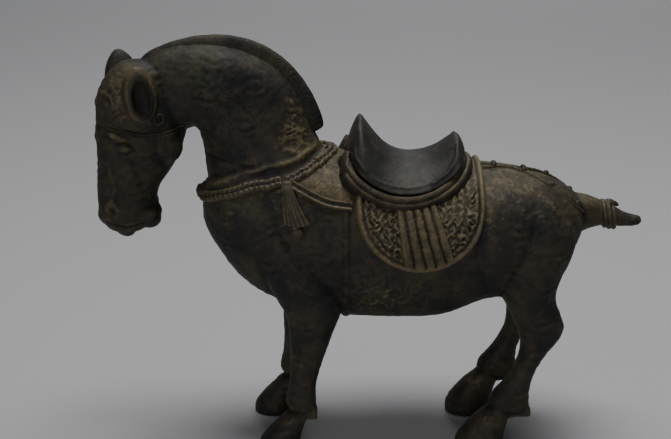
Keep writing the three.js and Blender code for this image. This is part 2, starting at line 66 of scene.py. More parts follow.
def remesh(piece, voxel, smoothing=0):
    modify(piece, "REMESH", mode="VOXEL", voxel_size=voxel * mm)
    if smoothing:
        modify(piece, "SMOOTH", factor=0.5, iterations=smoothing)


def rename(piece, name):
    piece.name = name
    piece.data.name = name


def joinPieces(name, things):
    pick(*things)
    bpy.ops.object.join()
    rename(bpy.context.object, name)
    return bpy.context.object


def place(piece, at, scale=(1, 1, 1), turn=(0, 0, 0)):
    # sized, turned in X, Y and Z order, and set down in its own mesh
    spin = Matrix.Identity(4)
    for degrees, axis in zip(turn, "XYZ"):
        spin = Matrix.Rotation(math.radians(degrees), 4, axis) @ spin
    spot = Matrix.Translation(Vector(at) * mm)
    piece.data.transform(spot @ spin @ Matrix.Diagonal((*scale, 1)))
    return piece


def ball(at, radii, turn=(0, 0, 0)):
    clearSelection()
    bpy.ops.mesh.primitive_uv_sphere_add(segments=24, ring_count=14, radius=mm)
    return place(bpy.context.object, at, radii, turn)


def ringAt(at, major, minor, turn=(0, 0, 0)):
    clearSelection()
    bpy.ops.mesh.primitive_torus_add(major_segments=32, minor_segments=12,
                                     major_radius=major * mm, minor_radius=minor * mm)
    return place(bpy.context.object, at, turn=turn)


def boxAt(low, high):
    clearSelection()
    bpy.ops.mesh.primitive_cube_add(size=mm)
    middle = [(a + b) / 2 for a, b in zip(low, high)]
    return place(bpy.context.object, middle, [b - a for a, b in zip(low, high)])


def prismAt(outline, yLow, yHigh):
    # a side-view outline, filled and extruded across the horse
    clearSelection()
    bpy.ops.mesh.primitive_circle_add(vertices=len(outline), radius=mm, fill_type="NGON")
    made = bpy.context.object
    for vertex, (x, z) in zip(made.data.vertices, outline):
        vertex.co = Vector((x, yLow, z)) * mm
    bpy.ops.object.mode_set(mode="EDIT")
    bpy.ops.mesh.select_all(action="SELECT")
    bpy.ops.mesh.extrude_region_move(
        TRANSFORM_OT_translate={"value": (0, (yHigh - yLow) * mm, 0)})
    bpy.ops.mesh.select_all(action="SELECT")
    bpy.ops.mesh.normals_make_consistent(inside=False)
    bpy.ops.object.mode_set(mode="OBJECT")
    return made


def boolean(piece, cutter, operation="DIFFERENCE"):
    modify(piece, "BOOLEAN", object=cutter, operation=operation, solver="MANIFOLD")
    bpy.data.objects.remove(cutter)
    return piece


def coordsOf(piece, field="co"):
    flat = np.empty(len(piece.data.vertices) * 3)
    piece.data.vertices.foreach_get(field, flat)
    coords = flat.reshape(-1, 3)
    return coords / mm if field == "co" else coords


def setCoords(piece, coords):
    piece.data.vertices.foreach_set("co", (coords * mm).ravel())
    piece.data.update()


def push(piece, heights):
    setCoords(piece, coordsOf(piece) + coordsOf(piece, "normal") * heights[:, None])


def castGrain(piece, depth):
    # the slight unevenness of a sand casting, in three sizes, with each one's share of the depth
    for size, share in ((5, 1), (2.6, 0.8), (1.1, 0.5)):
        cloud = bpy.data.textures.new("castGrain", "CLOUDS")
        cloud.noise_scale = size * mm
        cloud.noise_depth = 2
        modify(piece, "DISPLACE", texture=cloud, texture_coords="LOCAL", mid_level=0.5,
               strength=2 * depth * share * mm)


def edgesOf(piece):
    pairs = np.empty(len(piece.data.edges) * 2, dtype=np.int64)
    piece.data.edges.foreach_get("vertices", pairs)
    return pairs.reshape(-1, 2)


def spread(values, pairs, rounds):
    # each point takes the average of itself and its neighbours
    for _ in range(rounds):
        total = values.copy()
        count = np.ones(len(values))
        for a, b in ((0, 1), (1, 0)):
            total += np.bincount(pairs[:, a], values[pairs[:, b]], len(values))
            count += np.bincount(pairs[:, a], minlength=len(values))
        values = total / count
    return values


def spreadPoints(points, pairs, rounds):
    return np.column_stack([spread(points[:, axis], pairs, rounds) for axis in range(3)])


def bulgeOf(piece, rounds):
    # how far each point stands proud of its surroundings, in mm
    coords = coordsOf(piece)
    around = spreadPoints(coords, edgesOf(piece), rounds)
    return ((coords - around) * coordsOf(piece, "normal")).sum(axis=1)


def smoothStep(low, high, values):
    share = np.clip((values - low) / (high - low), 0, 1)
    return share * share * (3 - 2 * share)


def finishPiece(piece, slot, node, rubAndShading=None, base=0.25, scale=0.06):
    # the rub and shading value is 0 where the metal is dark and untouched, with painted shade in the
    # hollows, and 1 where it is rubbed bright; unless it is given, it is base on a plain surface and rises
    # by a quarter for each scale of bulge
    if rubAndShading is None:
        rubAndShading = base + 0.25 * bulgeOf(piece, 4) / scale
    layer = piece.data.attributes.get("rubAndShading") or piece.data.attributes.new("rubAndShading", "FLOAT", "POINT")
    layer.data.foreach_set("value", np.clip(rubAndShading, 0, 1).astype(np.float32))
    piece.data.materials.clear()
    piece.data.materials.append(bronzes[slot])
    pick(piece)
    bpy.ops.object.shade_smooth_by_angle(angle=math.radians(50))
    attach(piece, "root")
    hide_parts(node)
    print(piece.name, len(piece.data.polygons), "faces")


def bronzeMaterial(name, look):
    # patina mottled in three sizes, bright metal where rub is high, dark in the hollows
    material = bpy.data.materials.new(name)
    material.use_nodes = True
    nodes, links = material.node_tree.nodes, material.node_tree.links
    shader = nodes["Principled BSDF"]
    shader.inputs["Metallic"].default_value = look["metallic"]
    shader.inputs["Specular IOR Level"].default_value = look["gloss"]
    coords = nodes.new("ShaderNodeTexCoord")
    # this attribute carries rubbed wear together with painted shade for the hollows
    rubAndShadingInput = nodes.new("ShaderNodeAttribute")
    rubAndShadingInput.attribute_name = "rubAndShading"

    def feed(socket, source):
        # a number is set on the socket, and anything else is linked to it
        if isinstance(source, (int, float)):
            socket.default_value = source
        else:
            links.new(source, socket)

    def mottle(scale, detail, roughness):
        made = nodes.new("ShaderNodeTexNoise")
        made.inputs["Scale"].default_value = scale
        made.inputs["Detail"].default_value = detail
        made.inputs["Roughness"].default_value = roughness
        links.new(coords.outputs["Object"], made.inputs["Vector"])
        return made.outputs["Fac"]

    def ramp(source, *stops):
        made = nodes.new("ShaderNodeValToRGB")
        first, last = made.color_ramp.elements
        first.position, first.color = stops[0][0], (*stops[0][1], 1)
        last.position, last.color = stops[-1][0], (*stops[-1][1], 1)
        for position, colour in stops[1:-1]:
            made.color_ramp.elements.new(position).color = (*colour, 1)
        links.new(source, made.inputs["Fac"])
        return made.outputs["Color"]

    def rise(source, low, high):
        return ramp(source, (low, (0, 0, 0)), (high, (1, 1, 1)))

    def mix(share, first, second, how="MIX"):
        made = nodes.new("ShaderNodeMix")
        made.data_type = "RGBA"
        made.blend_type = how
        made.clamp_factor = True
        for source, socket in ((share, 0), (first, 6), (second, 7)):  # the colour sockets
            feed(made.inputs[socket], source)
        return made.outputs[2]

    def sums(how, first, second):
        made = nodes.new("ShaderNodeMath")
        made.operation = how
        feed(made.inputs[0], first)
        feed(made.inputs[1], second)
        return made.outputs[0]

    def sway(value, source, strength):
        # the value pushed up and down by a noise about its middle
        return sums("ADD", value, sums("MULTIPLY", sums("SUBTRACT", source, 0.5), strength))

    rubAndShading = rubAndShadingInput.outputs["Fac"]
    broad = mottle(look["broad"], 8, 0.68)
    spots = mottle(look["spots"], 8, 0.65)
    grain = mottle(look["grain"], 4, 0.6)
    # dark, middle and olive patina, with spots of rust and broad ochre where it is a little rubbed
    patina = ramp(broad, (0.36, look["dark"]), (0.5, look["middle"]), (0.66, look["olive"]))
    rust = sums("MULTIPLY", rise(spots, 0.54, 0.68), look["rustShare"])
    patina = mix(rust, patina, ramp(grain, (0.3, look["rust"]), (0.7, look["rustLight"])))
    ochre = sums("MULTIPLY", rise(sway(rubAndShading, broad, 1.2), 0.28, 0.85), look["ochreShare"])
    ochreDark = [0.6 * channel for channel in look["ochre"]]
    patina = mix(ochre, patina, ramp(grain, (0.2, ochreDark), (0.8, look["ochre"])))
    # bare metal on the well rubbed places, and shade in the hollows
    bright = rise(sway(sway(rubAndShading, spots, 0.9), grain, 0.5), look["wearFrom"], look["wearTo"])
    golden = ramp(grain, (0.25, look["golden"]), (0.75, look["goldenLight"]))
    colour = mix(sums("MULTIPLY", bright, look["wearShare"]), patina, golden)
    hollow = ramp(rubAndShading, (0, look["hollow"]), (0.22, (1, 1, 1)))
    links.new(mix(1, colour, hollow, "MULTIPLY"), shader.inputs["Base Color"])
    rough = sums("ADD", sums("MULTIPLY", grain, 0.22), look["roughness"] - 0.11)
    rough = sums("SUBTRACT", rough, sums("MULTIPLY", bright, 0.1))
    links.new(rough, shader.inputs["Roughness"])
    bump = nodes.new("ShaderNodeBump")
    bump.inputs["Strength"].default_value = look["bump"]
    bump.inputs["Distance"].default_value = 0.12 * mm
    links.new(sums("ADD", grain, sums("MULTIPLY", spots, 1.4)), bump.inputs["Height"])
    links.new(bump.outputs["Normal"], shader.inputs["Normal"])
    return material


darkBronze = bronzeMaterial("agedBronze", {
    "dark": (0.0100, 0.0104, 0.0106), "middle": (0.0200, 0.0180, 0.0145),
    "olive": (0.0335, 0.0365, 0.0205),
    "rust": (0.036, 0.021, 0.0135), "rustLight": (0.072, 0.050, 0.027), "rustShare": 0.75,
    "ochre": (0.074, 0.058, 0.030), "ochreShare": 0.85,
    "golden": (0.086, 0.070, 0.044), "goldenLight": (0.215, 0.163, 0.080), "hollow": (0.32, 0.31, 0.30),
    "broad": 75, "spots": 250, "grain": 1300, "metallic": 0.1, "gloss": 0.27, "roughness": 0.65,
    "bump": 0.9, "wearFrom": 0.55, "wearTo": 1.2, "wearShare": 0.7})
rubbedBronze = bronzeMaterial("rubbedBronze", {
    "dark": (0.014, 0.0125, 0.0095), "middle": (0.026, 0.022, 0.0145),
    "olive": (0.0385, 0.038, 0.019),
    "rust": (0.040, 0.025, 0.015), "rustLight": (0.080, 0.055, 0.028), "rustShare": 0.7,
    "ochre": (0.078, 0.059, 0.030), "ochreShare": 0.7,
    "golden": (0.088, 0.066, 0.031), "goldenLight": (0.175, 0.13, 0.064), "hollow": (0.28, 0.27, 0.26),
    "broad": 90, "spots": 330, "grain": 1600, "metallic": 0.12, "gloss": 0.32, "roughness": 0.6,
    "bump": 0.8, "wearFrom": 0.45, "wearTo": 1.15, "wearShare": 0.7})
slateBronze = bronzeMaterial("slateBronze", {
    "dark": (0.0105, 0.0102, 0.0096), "middle": (0.0175, 0.0166, 0.0145),
    "olive": (0.030, 0.0285, 0.0215),
    "rust": (0.036, 0.024, 0.0155), "rustLight": (0.075, 0.050, 0.028), "rustShare": 0.85,
    "ochre": (0.038, 0.034, 0.026), "ochreShare": 0.5,
    "golden": (0.07, 0.062, 0.047), "goldenLight": (0.17, 0.155, 0.125), "hollow": (0.35, 0.35, 0.36),
    "broad": 75, "spots": 210, "grain": 1100, "metallic": 0.06, "gloss": 0.34, "roughness": 0.6,
    "bump": 0.6, "wearFrom": 0.7, "wearTo": 1.3, "wearShare": 0.5})
bronzes = {"dark_bronze": darkBronze, "rubbed_bronze": rubbedBronze, "slate_bronze": slateBronze}
print("three bronzes mixed")

# the body's forms; each ring is centre x, y, z, half depth, half width, tilt of the depth
bodyForms = {
    "barrel": {"segments": 28, "rings": [
        (-55.2, 0, 81.4, 4, 5, 90), (-53.6, 0, 82, 9, 10.5, 90), (-49.8, 0, 82, 15, 15, 90),
        (-44, 0, 79.5, 21.6, 18.3, 90), (-36, 0, 77, 25.4, 20, 90), (-24, 0, 74.2, 27.8, 21.2, 90),
        (-12, 0, 72.4, 28.2, 22.3, 90), (0, 0, 69.2, 25.2, 23.5, 90), (12, 0, 67.8, 23.8, 24, 90),
        (24, 0, 68.8, 24.4, 23.8, 90), (31, 0, 71.2, 23.2, 23.2, 90), (36, 0, 72.4, 22.2, 22.8, 90),
        (44, 0, 72.4, 21.6, 22.2, 90), (54, 0, 73.2, 18.6, 19.8, 90), (62, 0, 74.6, 13.6, 15.4, 90),
        (67, 0, 76.6, 8, 9.6, 90), (69.4, 0, 77.6, 3, 4.2, 90)]},
    "neck": {"segments": 24, "rings": [
        (-31, 0, 76, 15, 13, 14), (-32.4, 0, 82, 17.6, 15, 17), (-33.8, 0, 88, 19.4, 15.4, 21),
        (-34.6, 0, 93.6, 20, 15, 24), (-36.8, 0, 100.4, 18.2, 13, 23),
        (-37.9, 0, 106.9, 17.7, 11.8, 24), (-40.9, 0, 114.9, 17.1, 11, 33),
        (-46.3, 0, 119.8, 15.5, 10.5, 50), (-53.5, 0, 121.8, 14.1, 10, 74),
        (-61.5, 0, 120.7, 13.8, 9.6, 103), (-66.5, 0, 119.2, 12.9, 9.3, 108),
        (-71.5, 0, 117.4, 11.4, 8.8, 112)]},
    "head": {"segments": 24, "turned": True, "rings": [
        (-75, 0, 130, 3.5, 4, 0), (-74.6, 0, 127.8, 8, 7.4, 0), (-74.6, 0, 122.9, 11.8, 9.2, 0),
        (-74.5, 0, 117.4, 13.9, 9.5, 0), (-74, 0, 111.4, 14.3, 9.2, 0), (-74.4, 0, 105.4, 14.5, 8.6, 0),
        (-75.3, 0, 99.4, 13.2, 7.7, 0), (-76.8, 0, 94.4, 12, 6.8, 0), (-79.4, 0, 89.4, 10, 6.2, 0),
        (-79.7, 0, 84.4, 9.4, 6.2, 0), (-79.8, 0, 80.2, 9.6, 6.8, 0), (-80, 0, 76.6, 7.6, 6, 0),
        (-80.4, 0, 73.6, 4.6, 4, 0)]},
    "tail": {"segments": 16, "rings": [
        (60, 0, 76.9, 8, 8, 90), (67.5, 0, 78.2, 7, 6.4, 84), (72, 0, 78.6, 5, 4.6, 80),
        (77, 0, 77.8, 3.6, 3.6, 78), (82, 0, 76.2, 2.5, 2.6, 84), (86, 0, 75.6, 1.9, 2, 94),
        (88.6, 0, 76, 1.3, 1.5, 100)]},
}
maneForm = {"segments": 20, "rings": [
    (-20.4, 0, 105.4, 4.6, 2.2, 16), (-20.8, 0, 107, 5.4, 2.4, 18), (-21.8, 0, 110, 5.6, 2.3, 20),
    (-24.8, 0, 117, 5.8, 2.2, 28), (-30.4, 0, 124.6, 5.8, 2.2, 42), (-37.4, 0, 129.6, 5.8, 2.2, 58),
    (-45.4, 0, 132.2, 5.4, 2.2, 74), (-53.6, 0, 132.8, 4.8, 2.2, 88),
    (-61.6, 0, 131.2, 4.6, 2.2, 100), (-68.6, 0, 128.4, 4.6, 2.1, 112),
    (-73.4, 0, 125.8, 3.6, 1.9, 120)]}
rightLead = {"fore": 3, "hind": 1.2}  # how much further forward the right legs stand
legForms = {
    "foreleg": {"segments": 18, "lead": rightLead["fore"], "rings": [
        (-26.5, 9, 88, 4, 3, 0), (-26.5, 10.2, 84, 10, 7, 0), (-26.3, 11.4, 76.4, 14.2, 9.3, 0),
        (-24, 12.6, 64.4, 13.6, 9.3, 0), (-20.5, 13.4, 54.4, 11, 8.2, 0), (-18.9, 14, 48.4, 8.8, 7.2, 0),
        (-20, 14, 42.4, 7.2, 6.2, 0), (-21, 14, 35.4, 6, 5.5, 0), (-22.2, 14, 27.4, 4.5, 4.6, 0),
        (-23.1, 14, 21.4, 4.3, 4.4, 0), (-23.6, 14, 17, 5.3, 5, 0), (-22.8, 14, 13.6, 4.3, 4.3, 0)]},
    "foreHoof": {"segments": 18, "lead": rightLead["fore"], "rings": [
        (-30.9, 14, -2.5, 6.2, 5.8, 0), (-30.9, 14, 0, 6.5, 6, 0), (-30.8, 14, 2.8, 6.8, 6.3, 0),
        (-28.8, 14, 6.6, 5.8, 5.6, 0), (-26.2, 14, 10.4, 4.5, 4.8, 0), (-24.2, 14, 14.4, 3.2, 3.8, 0)]},
    "hindleg": {"segments": 18, "lead": rightLead["hind"], "rings": [
        (49, 8.5, 90, 4, 3, 0), (49.5, 9.8, 86, 10, 7, 0), (50.8, 11.6, 76.4, 15.4, 9.7, 0),
        (50.8, 12.4, 67.4, 13.4, 9.2, 0), (50, 13.2, 59.4, 9.9, 8.2, 0), (50.6, 13.7, 53.4, 8.1, 7, 0),
        (53, 14, 48.4, 8.1, 6.2, 0), (55.2, 14, 43.9, 8, 5.6, 0), (54.9, 14, 39.4, 6.2, 5, 0),
        (52.6, 14, 34.4, 4.2, 4.4, 0), (50.6, 14, 29.4, 3.7, 4.1, 0), (48.2, 14, 24.4, 4.2, 4.3, 0),
        (46.2, 14, 20.4, 6, 4.9, 0), (45.2, 14, 17, 7.2, 5.2, 0), (46.6, 14, 13.4, 5.8, 4.6, 0)]},
    "hindHoof": {"segments": 18, "lead": rightLead["hind"], "rings": [
        (36.3, 14, -2.5, 7.5, 6.2, 0), (36.2, 14, 0, 7.9, 6.5, 0), (36, 14, 2.8, 8.3, 6.8, 0),
        (37.1, 14, 6.6, 7.3, 6.2, 0), (39.2, 14, 10.4, 6.2, 5.5, 0), (42, 14, 14, 5, 4.8, 0),
        (44, 14, 17, 3.8, 3.8, 0)]},
}
headTurn = {"degrees": 14, "aboutX": -62, "outside": 40}


def turnHead(piece):
    pivot = Vector((headTurn["aboutX"], 0, 0)) * mm
    spin = Matrix.Rotation(math.radians(headTurn["degrees"]), 4, "Z")
    piece.data.transform(Matrix.Translation(pivot) @ spin @ Matrix.Translation(-pivot))
    return piece


def headTurned(x, y, degrees):
    # the same turn, or its opposite, for numbers
    turn, pivot = math.radians(degrees), headTurn["aboutX"]
    return (pivot + (x - pivot) * math.cos(turn) - y * math.sin(turn),
            (x - pivot) * math.sin(turn) + y * math.cos(turn))


def loftForm(name, form, side=1):
    # rings stacked in edit mode, bridged into a skin and closed at both ends
    clearSelection()
    count = form["segments"]
    swell = 3 / (2 + math.cos(2 * math.pi / count))  # what the subdivision takes off again
    corner = 0.035  # how much fuller than an ellipse the ring is between its axes
    lead = form.get("lead", 0) if side > 0 else 0
    bpy.ops.mesh.primitive_circle_add(vertices=count, radius=mm)
    made = bpy.context.object
    made.name = name
    bpy.ops.object.mode_set(mode="EDIT")
    for step, (x, y, z, deep, wide, tilt) in enumerate(form["rings"]):
        if step:
            bpy.ops.mesh.primitive_circle_add(vertices=count, radius=mm)
        mesh = bmesh.from_edit_mesh(made.data)
        mesh.verts.ensure_lookup_table()
        ring = [v for v in mesh.verts if v.select]
        turn = Matrix.Rotation(-math.radians(tilt), 3, "Y")
        centre = Vector((x - lead, y * side, z)) * mm
        for vertex in ring:
            fuller = 1 + corner * math.sin(2 * math.atan2(vertex.co.y, vertex.co.x)) ** 2
            flat = Vector((vertex.co.x * deep, vertex.co.y * wide, 0)) * swell * fuller
            vertex.co = centre + turn @ flat
        bmesh.update_edit_mesh(made.data)
    bpy.ops.mesh.select_all(action="SELECT")
    bpy.ops.mesh.bridge_edge_loops()
    bpy.ops.mesh.select_all(action="DESELECT")
    bpy.ops.mesh.select_non_manifold()
    bpy.ops.mesh.fill_holes(sides=0)
    bpy.ops.mesh.select_all(action="SELECT")
    bpy.ops.mesh.normals_make_consistent(inside=False)
    bpy.ops.object.mode_set(mode="OBJECT")
    modify(made, "SUBSURF", levels=2, render_levels=2)
    if form.get("turned"):
        turnHead(made)
    return made


# brow, eyes, cheeks, nostrils, lips and chin, in the head's own frame before it turns
headDetails = {
    "both": [  # x, y, z, radii, turn in Y
        (-81.6, 6.3, 106.8, (4.2, 2.3, 1.5), 24), (-80.4, 7, 103.4, (2, 1.5, 1.4), 20),
        (-79.8, 6.6, 101.2, (2.6, 1.4, 0.9), 12), (-68, 5, 104.6, (6, 3.6, 8), -22),
        (-84.6, 4.4, 83.4, (3, 2, 3.6), -20), (-74.6, 3.6, 80.4, (3.4, 2.6, 3), 0)],
    "middle": [
        (-85.2, 0, 117, (3.4, 4, 3), 0), (-86.6, 0, 106.4, (2.6, 4.6, 3.6), 0),
        (-86.8, 0, 90.4, (2.2, 4, 3), 0), (-84.2, 0, 80.4, (5.4, 4.8, 4.6), -12),
        (-80.8, 0, 75, (3.6, 4, 3), 30),
        (-73, 0, 77.6, (3.9, 3.9, 3.4), 0), (-71, 0, 80, (2.2, 3.2, 2.8), 0),
        (-72.6, 0, 83, (3, 3.6, 4.6), 0)],
}
fetlocks = {  # tufts cut off flat underneath, as side outlines
    "fore": [(-24, 18.2), (-20, 17.4), (-18.1, 13.6), (-18, 11.5), (-24, 11)],
    "hind": [(46, 19.4), (50.4, 18.8), (52.4, 15.6), (52.9, 12.6), (46, 12.2)]}
fetlockY = 14
fetlockHalf = 3.6
bodyCast = {"voxel": 0.49, "smoothing": 7, "grain": 0.17}
forms = [loftForm(name, form) for name, form in bodyForms.items()]
for name, form in legForms.items():
    forms += [loftForm(name, form, side) for side in (-1, 1)]
for x, y, z, radii, tilt in headDetails["both"]:
    forms += [turnHead(ball((x, side * y, z), radii, (0, tilt, 0))) for side in (-1, 1)]
for x, y, z, radii, tilt in headDetails["middle"]:
    forms.append(turnHead(ball((x, y, z), radii, (0, tilt, 0))))
for leg, outline in fetlocks.items():
    for side in (-1, 1):
        lead = rightLead[leg] if side > 0 else 0
        forms.append(prismAt([(x - lead, z) for x, z in outline],
                             side * fetlockY - fetlockHalf, side * fetlockY + fetlockHalf))
body = joinPieces("castBody", forms)
remesh(body, bodyCast["voxel"], bodyCast["smoothing"])
boolean(body, boxAt((-120, -60, 0), (120, 60, 200)), "INTERSECT")  # hooves flat on the floor
print("body cast", len(body.data.vertices))


def bandNear(distance, width):
    return np.exp(-(distance / width) ** 2)


def patchNear(dx, dz, reachX, reachZ):
    return np.exp(-(dx / reachX) ** 2 - (dz / reachZ) ** 2)


def lineDistance(x, z, points):
    # distance in the side view from a chain of points
    best = np.full(len(x), 1e9)
    for (x0, z0), (x1, z1) in zip(points, points[1:]):
        dx, dz = x1 - x0, z1 - z0
        share = np.clip(((x - x0) * dx + (z - z0) * dz) / (dx * dx + dz * dz), 0, 1)
        best = np.minimum(best, np.hypot(x - x0 - share * dx, z - z0 - share * dz))
    return best


def curlField(x, z, curls, pitch):
    # spiral ridges; each curl is centre x, z, radius, and the way it winds
    field = np.zeros(np.shape(x))
    for cx, cz, radius, wind in curls:
        away = np.hypot(x - cx, z - cz)
        phase = 2 * math.pi * away / pitch - wind * np.arctan2(z - cz, x - cx)
        ridge = (0.5 + 0.5 * np.cos(phase)) * smoothStep(radius, radius - 0.7, away)
        field = np.maximum(field, ridge)
    return field


def vein(point):
    # an irregular ridge that wanders over the surface, with a finer and lower one on it
    spot = Vector((point[0], 0.6 * point[1], 1.25 * point[2])) / bodyRelief["veinSize"]
    spot += 0.9 * noise.noise_vector(spot * 0.7)
    fine = max(0, 1 - 3 * abs(noise.noise(spot * 2.3)))
    return max(0, 1 - 3.2 * abs(noise.noise(spot))) + 0.4 * fine


# creases and reliefs of the casting; lines are in the side view, depth is in mm
bodyRelief = {
    "creases": [
        ([(-54, 100.4), (-47, 99), (-38, 97.6)], -0.3, 0.7),
        ([(-34, 88), (-27, 72), (-14, 58)], -0.35, 1.6), ([(34, 84), (33.6, 66), (38, 54)], -0.5, 2.4),
        ([(58, 84), (63, 74), (60, 62)], -0.3, 1.6), ([(-52, 80), (-46, 70), (-37, 60)], -0.3, 1.8),
        ([(-9, 45), (10, 43.6), (30, 46.6)], 0.25, 0.5), ([(42, 93), (54, 88), (63, 80)], 0.25, 1.4),
        ([(-53, 90.4), (-44, 94.6), (-34, 98), (-26, 99.4), (-18, 103)], 0.55, 0.9),
        ([(-53, 88.6), (-44, 92.6), (-34, 96)], -0.3, 0.6),
        ([(-35, 46), (-33, 58), (-37, 68)], -0.25, 1.2)],
    "head": [  # before the head turns: mouth, cheek edge, lids, face bones
        ([(-87, 78), (-81, 76.6), (-75.4, 77.4)], -0.4, 0.5),
        ([(-66, 112), (-61.4, 104), (-66, 95)], -0.15, 1),
        ([(-83.2, 104.6), (-80.4, 105.4), (-77.6, 103.6)], -0.35, 0.45),
        ([(-82.6, 101.9), (-80, 101.6), (-77.4, 102.6)], -0.3, 0.4),
        ([(-86, 98), (-84, 90), (-85.4, 86)], 0.3, 0.8), ([(-78, 98), (-76, 90)], -0.25, 1.2)],
    "nostril": (-85.4, 82.2, 1), "nostrilDepth": -1.1,
    "rough": [  # centre, reach and depth of each veined patch
        (-24.5, 109, 5, 9.5, 0.5), (1, 55, 8, 9, 0.4), (-76, 121, 9, 8, 0.28),
        (-50, 122, 10, 6, 0.16), (14, 60, 12, 6, 0.18), (-25, 84, 9, 8, 0.2),
        (-70, 100, 9, 10, 0.1), (-44, 112, 9, 9, 0.12), (50, 82, 12, 8, 0.13)],
    "veinSize": 3.6, "streak": 0.1,
}
coords = coordsOf(body)
x, y, z = coords.T
facing = np.abs(coordsOf(body, "normal")[:, 1])
height = np.zeros(len(x))
for line, depth, width in bodyRelief["creases"]:
    height += depth * bandNear(lineDistance(x, z, line), width) * smoothStep(0.15, 0.6, facing)
for rx, rz, reachX, reachZ, depth in bodyRelief["rough"]:
    near = patchNear(x - rx, z - rz, reachX, reachZ) * smoothStep(0.3, 0.7, facing)
    for index in np.where(near > 0.04)[0]:
        height[index] += depth * near[index] * vein(coords[index])
streaks = np.sin(z * 2.1 + 2.2 * np.sin(x * 0.21 + y * 0.13) + 0.8 * np.sin(x * 0.7 - z * 0.3))
streaked = smoothStep(0.2, 1, np.sin(x * 0.33 + z * 0.19) * np.sin(z * 0.27 - x * 0.08))
height += bodyRelief["streak"] * streaks * streaked
headX, headY = headTurned(x, y, -headTurn["degrees"])
onHead = smoothStep(-57, -58, headX) * smoothStep(70, 71, z)
for line, depth, width in bodyRelief["head"]:
    height += depth * bandNear(lineDistance(headX, z, line), width) * onHead
nx, nz, nr = bodyRelief["nostril"]
nostril = bandNear(np.hypot(headX - nx, (z - nz) * 0.8), nr) * smoothStep(2, 4, np.abs(headY))
height += bodyRelief["nostrilDepth"] * nostril * onHead
push(body, height)
castGrain(body, bodyCast["grain"])
print("relief pushed")

skinTree = BVHTree.FromObject(body, bpy.context.evaluated_depsgraph_get())
softNormals = spreadPoints(coordsOf(body, "normal"), edgesOf(body), 5)
faceCorners = [list(face.vertices) for face in body.data.polygons]
outside = 60  # rays on the skin start this far from the middle plane


def softNormal(face):
    total = softNormals[faceCorners[face]].sum(axis=0)
    return total / np.linalg.norm(total)


def nearestSkin(points):
    feet, normals = [], []
    for point in points:
        spot, _, face, _ = skinTree.find_nearest(Vector(point) * mm)
        feet.append(np.array(spot) / mm)
        normals.append(softNormal(face))
    return np.array(feet), np.array(normals)


def raySkin(starts, aims):
    # first hit of each ray on the skin; a miss takes the nearest place to its aim
    feet, normals = [], []
    for start, aim in zip(starts, aims):
        begin, end = Vector(start) * mm, Vector(aim) * mm
        spot, _, face, _ = skinTree.ray_cast(begin, (end - begin).normalized())
        if spot is None:
            spot, _, face, _ = skinTree.find_nearest(end)
        feet.append(np.array(spot) / mm)
        normals.append(softNormal(face))
    return np.array(feet), np.array(normals)


def flank(places, side):
    # the skin at places of the side view, seen from one side
    return raySkin([(x, side * outside, z) for x, z in places], [(x, 0, z) for x, z in places])


def cheek(x, z, side):
    # the skin at a place on the head, given before the head's turn
    start, aim = (headTurned(x, y, headTurn["degrees"]) for y in (side * headTurn["outside"], 0))
    return raySkin([(*start, z)], [(*aim, z)])


def asGrid(hits, shape):
    feet, normals = hits
    return feet.reshape(*shape, 3), normals.reshape(*shape, 3)


def smoothPath(points, step):
    # an even walk along a curve through the points
    points = np.array(points, dtype=float)
    padded = np.vstack([2 * points[0] - points[1], points, 2 * points[-1] - points[-2]])
    walk = []
    for i in range(len(points) - 1):
        p0, p1, p2, p3 = padded[i:i + 4]
        for t in np.linspace(0, 1, 40, endpoint=False):
            walk.append(0.5 * ((2 * p1) + (p2 - p0) * t + (2 * p0 - 5 * p1 + 4 * p2 - p3) * t * t
                               + (3 * p1 - p0 - 3 * p2 + p3) * t ** 3))
    walk = np.array(walk + [points[-1]])
    lengths = np.concatenate([[0], np.cumsum(np.linalg.norm(np.diff(walk, axis=0), axis=1))])
    marks = np.linspace(0, lengths[-1], max(3, int(lengths[-1] / step)))
    return np.column_stack([np.interp(marks, lengths, walk[:, axis]) for axis in range(3)])


def standOn(piece, hit, out):
    # turned to face out of the skin, and moved out from its foot there
    foot, normal = hit[0][0], hit[1][0]
    piece.data.transform(Matrix.Translation(Vector(foot + normal * out) * mm)
                         @ Vector(normal).to_track_quat("Z", "Y").to_matrix().to_4x4())
    return piece


def reliefSheet(name, feet, normals, heights, wall=0.7, keepAbove=-0.3):
    # a grid laid over the skin at the given heights, with a wall behind it
    rows, columns = heights.shape
    clearSelection()
    bpy.ops.mesh.primitive_grid_add(x_subdivisions=columns - 1, y_subdivisions=rows - 1, size=0.02)
    made = bpy.context.object
    rename(made, name)
    setCoords(made, (feet + normals * heights[..., None]).reshape(-1, 3))
    low = set(np.where(heights.ravel() <= keepAbove)[0].tolist())
    if low:
        mesh = bmesh.new()
        mesh.from_mesh(made.data)
        gone = [face for face in mesh.faces if all(v.index in low for v in face.verts)]
        bmesh.ops.delete(mesh, geom=gone, context="FACES")
        mesh.to_mesh(made.data)
        mesh.free()
    middle = made.data.polygons[len(made.data.polygons) // 2]
    outward = softNormal(skinTree.find_nearest(middle.center)[2])
    if Vector(outward).dot(middle.normal) < 0:
        made.data.flip_normals()
    modify(made, "SOLIDIFY", thickness=wall * mm, offset=-1)
    return made


strapGrid = {"rows": 0.35, "columns": 15, "reach": 1.15, "sunk": -0.4, "tip": 0.7}


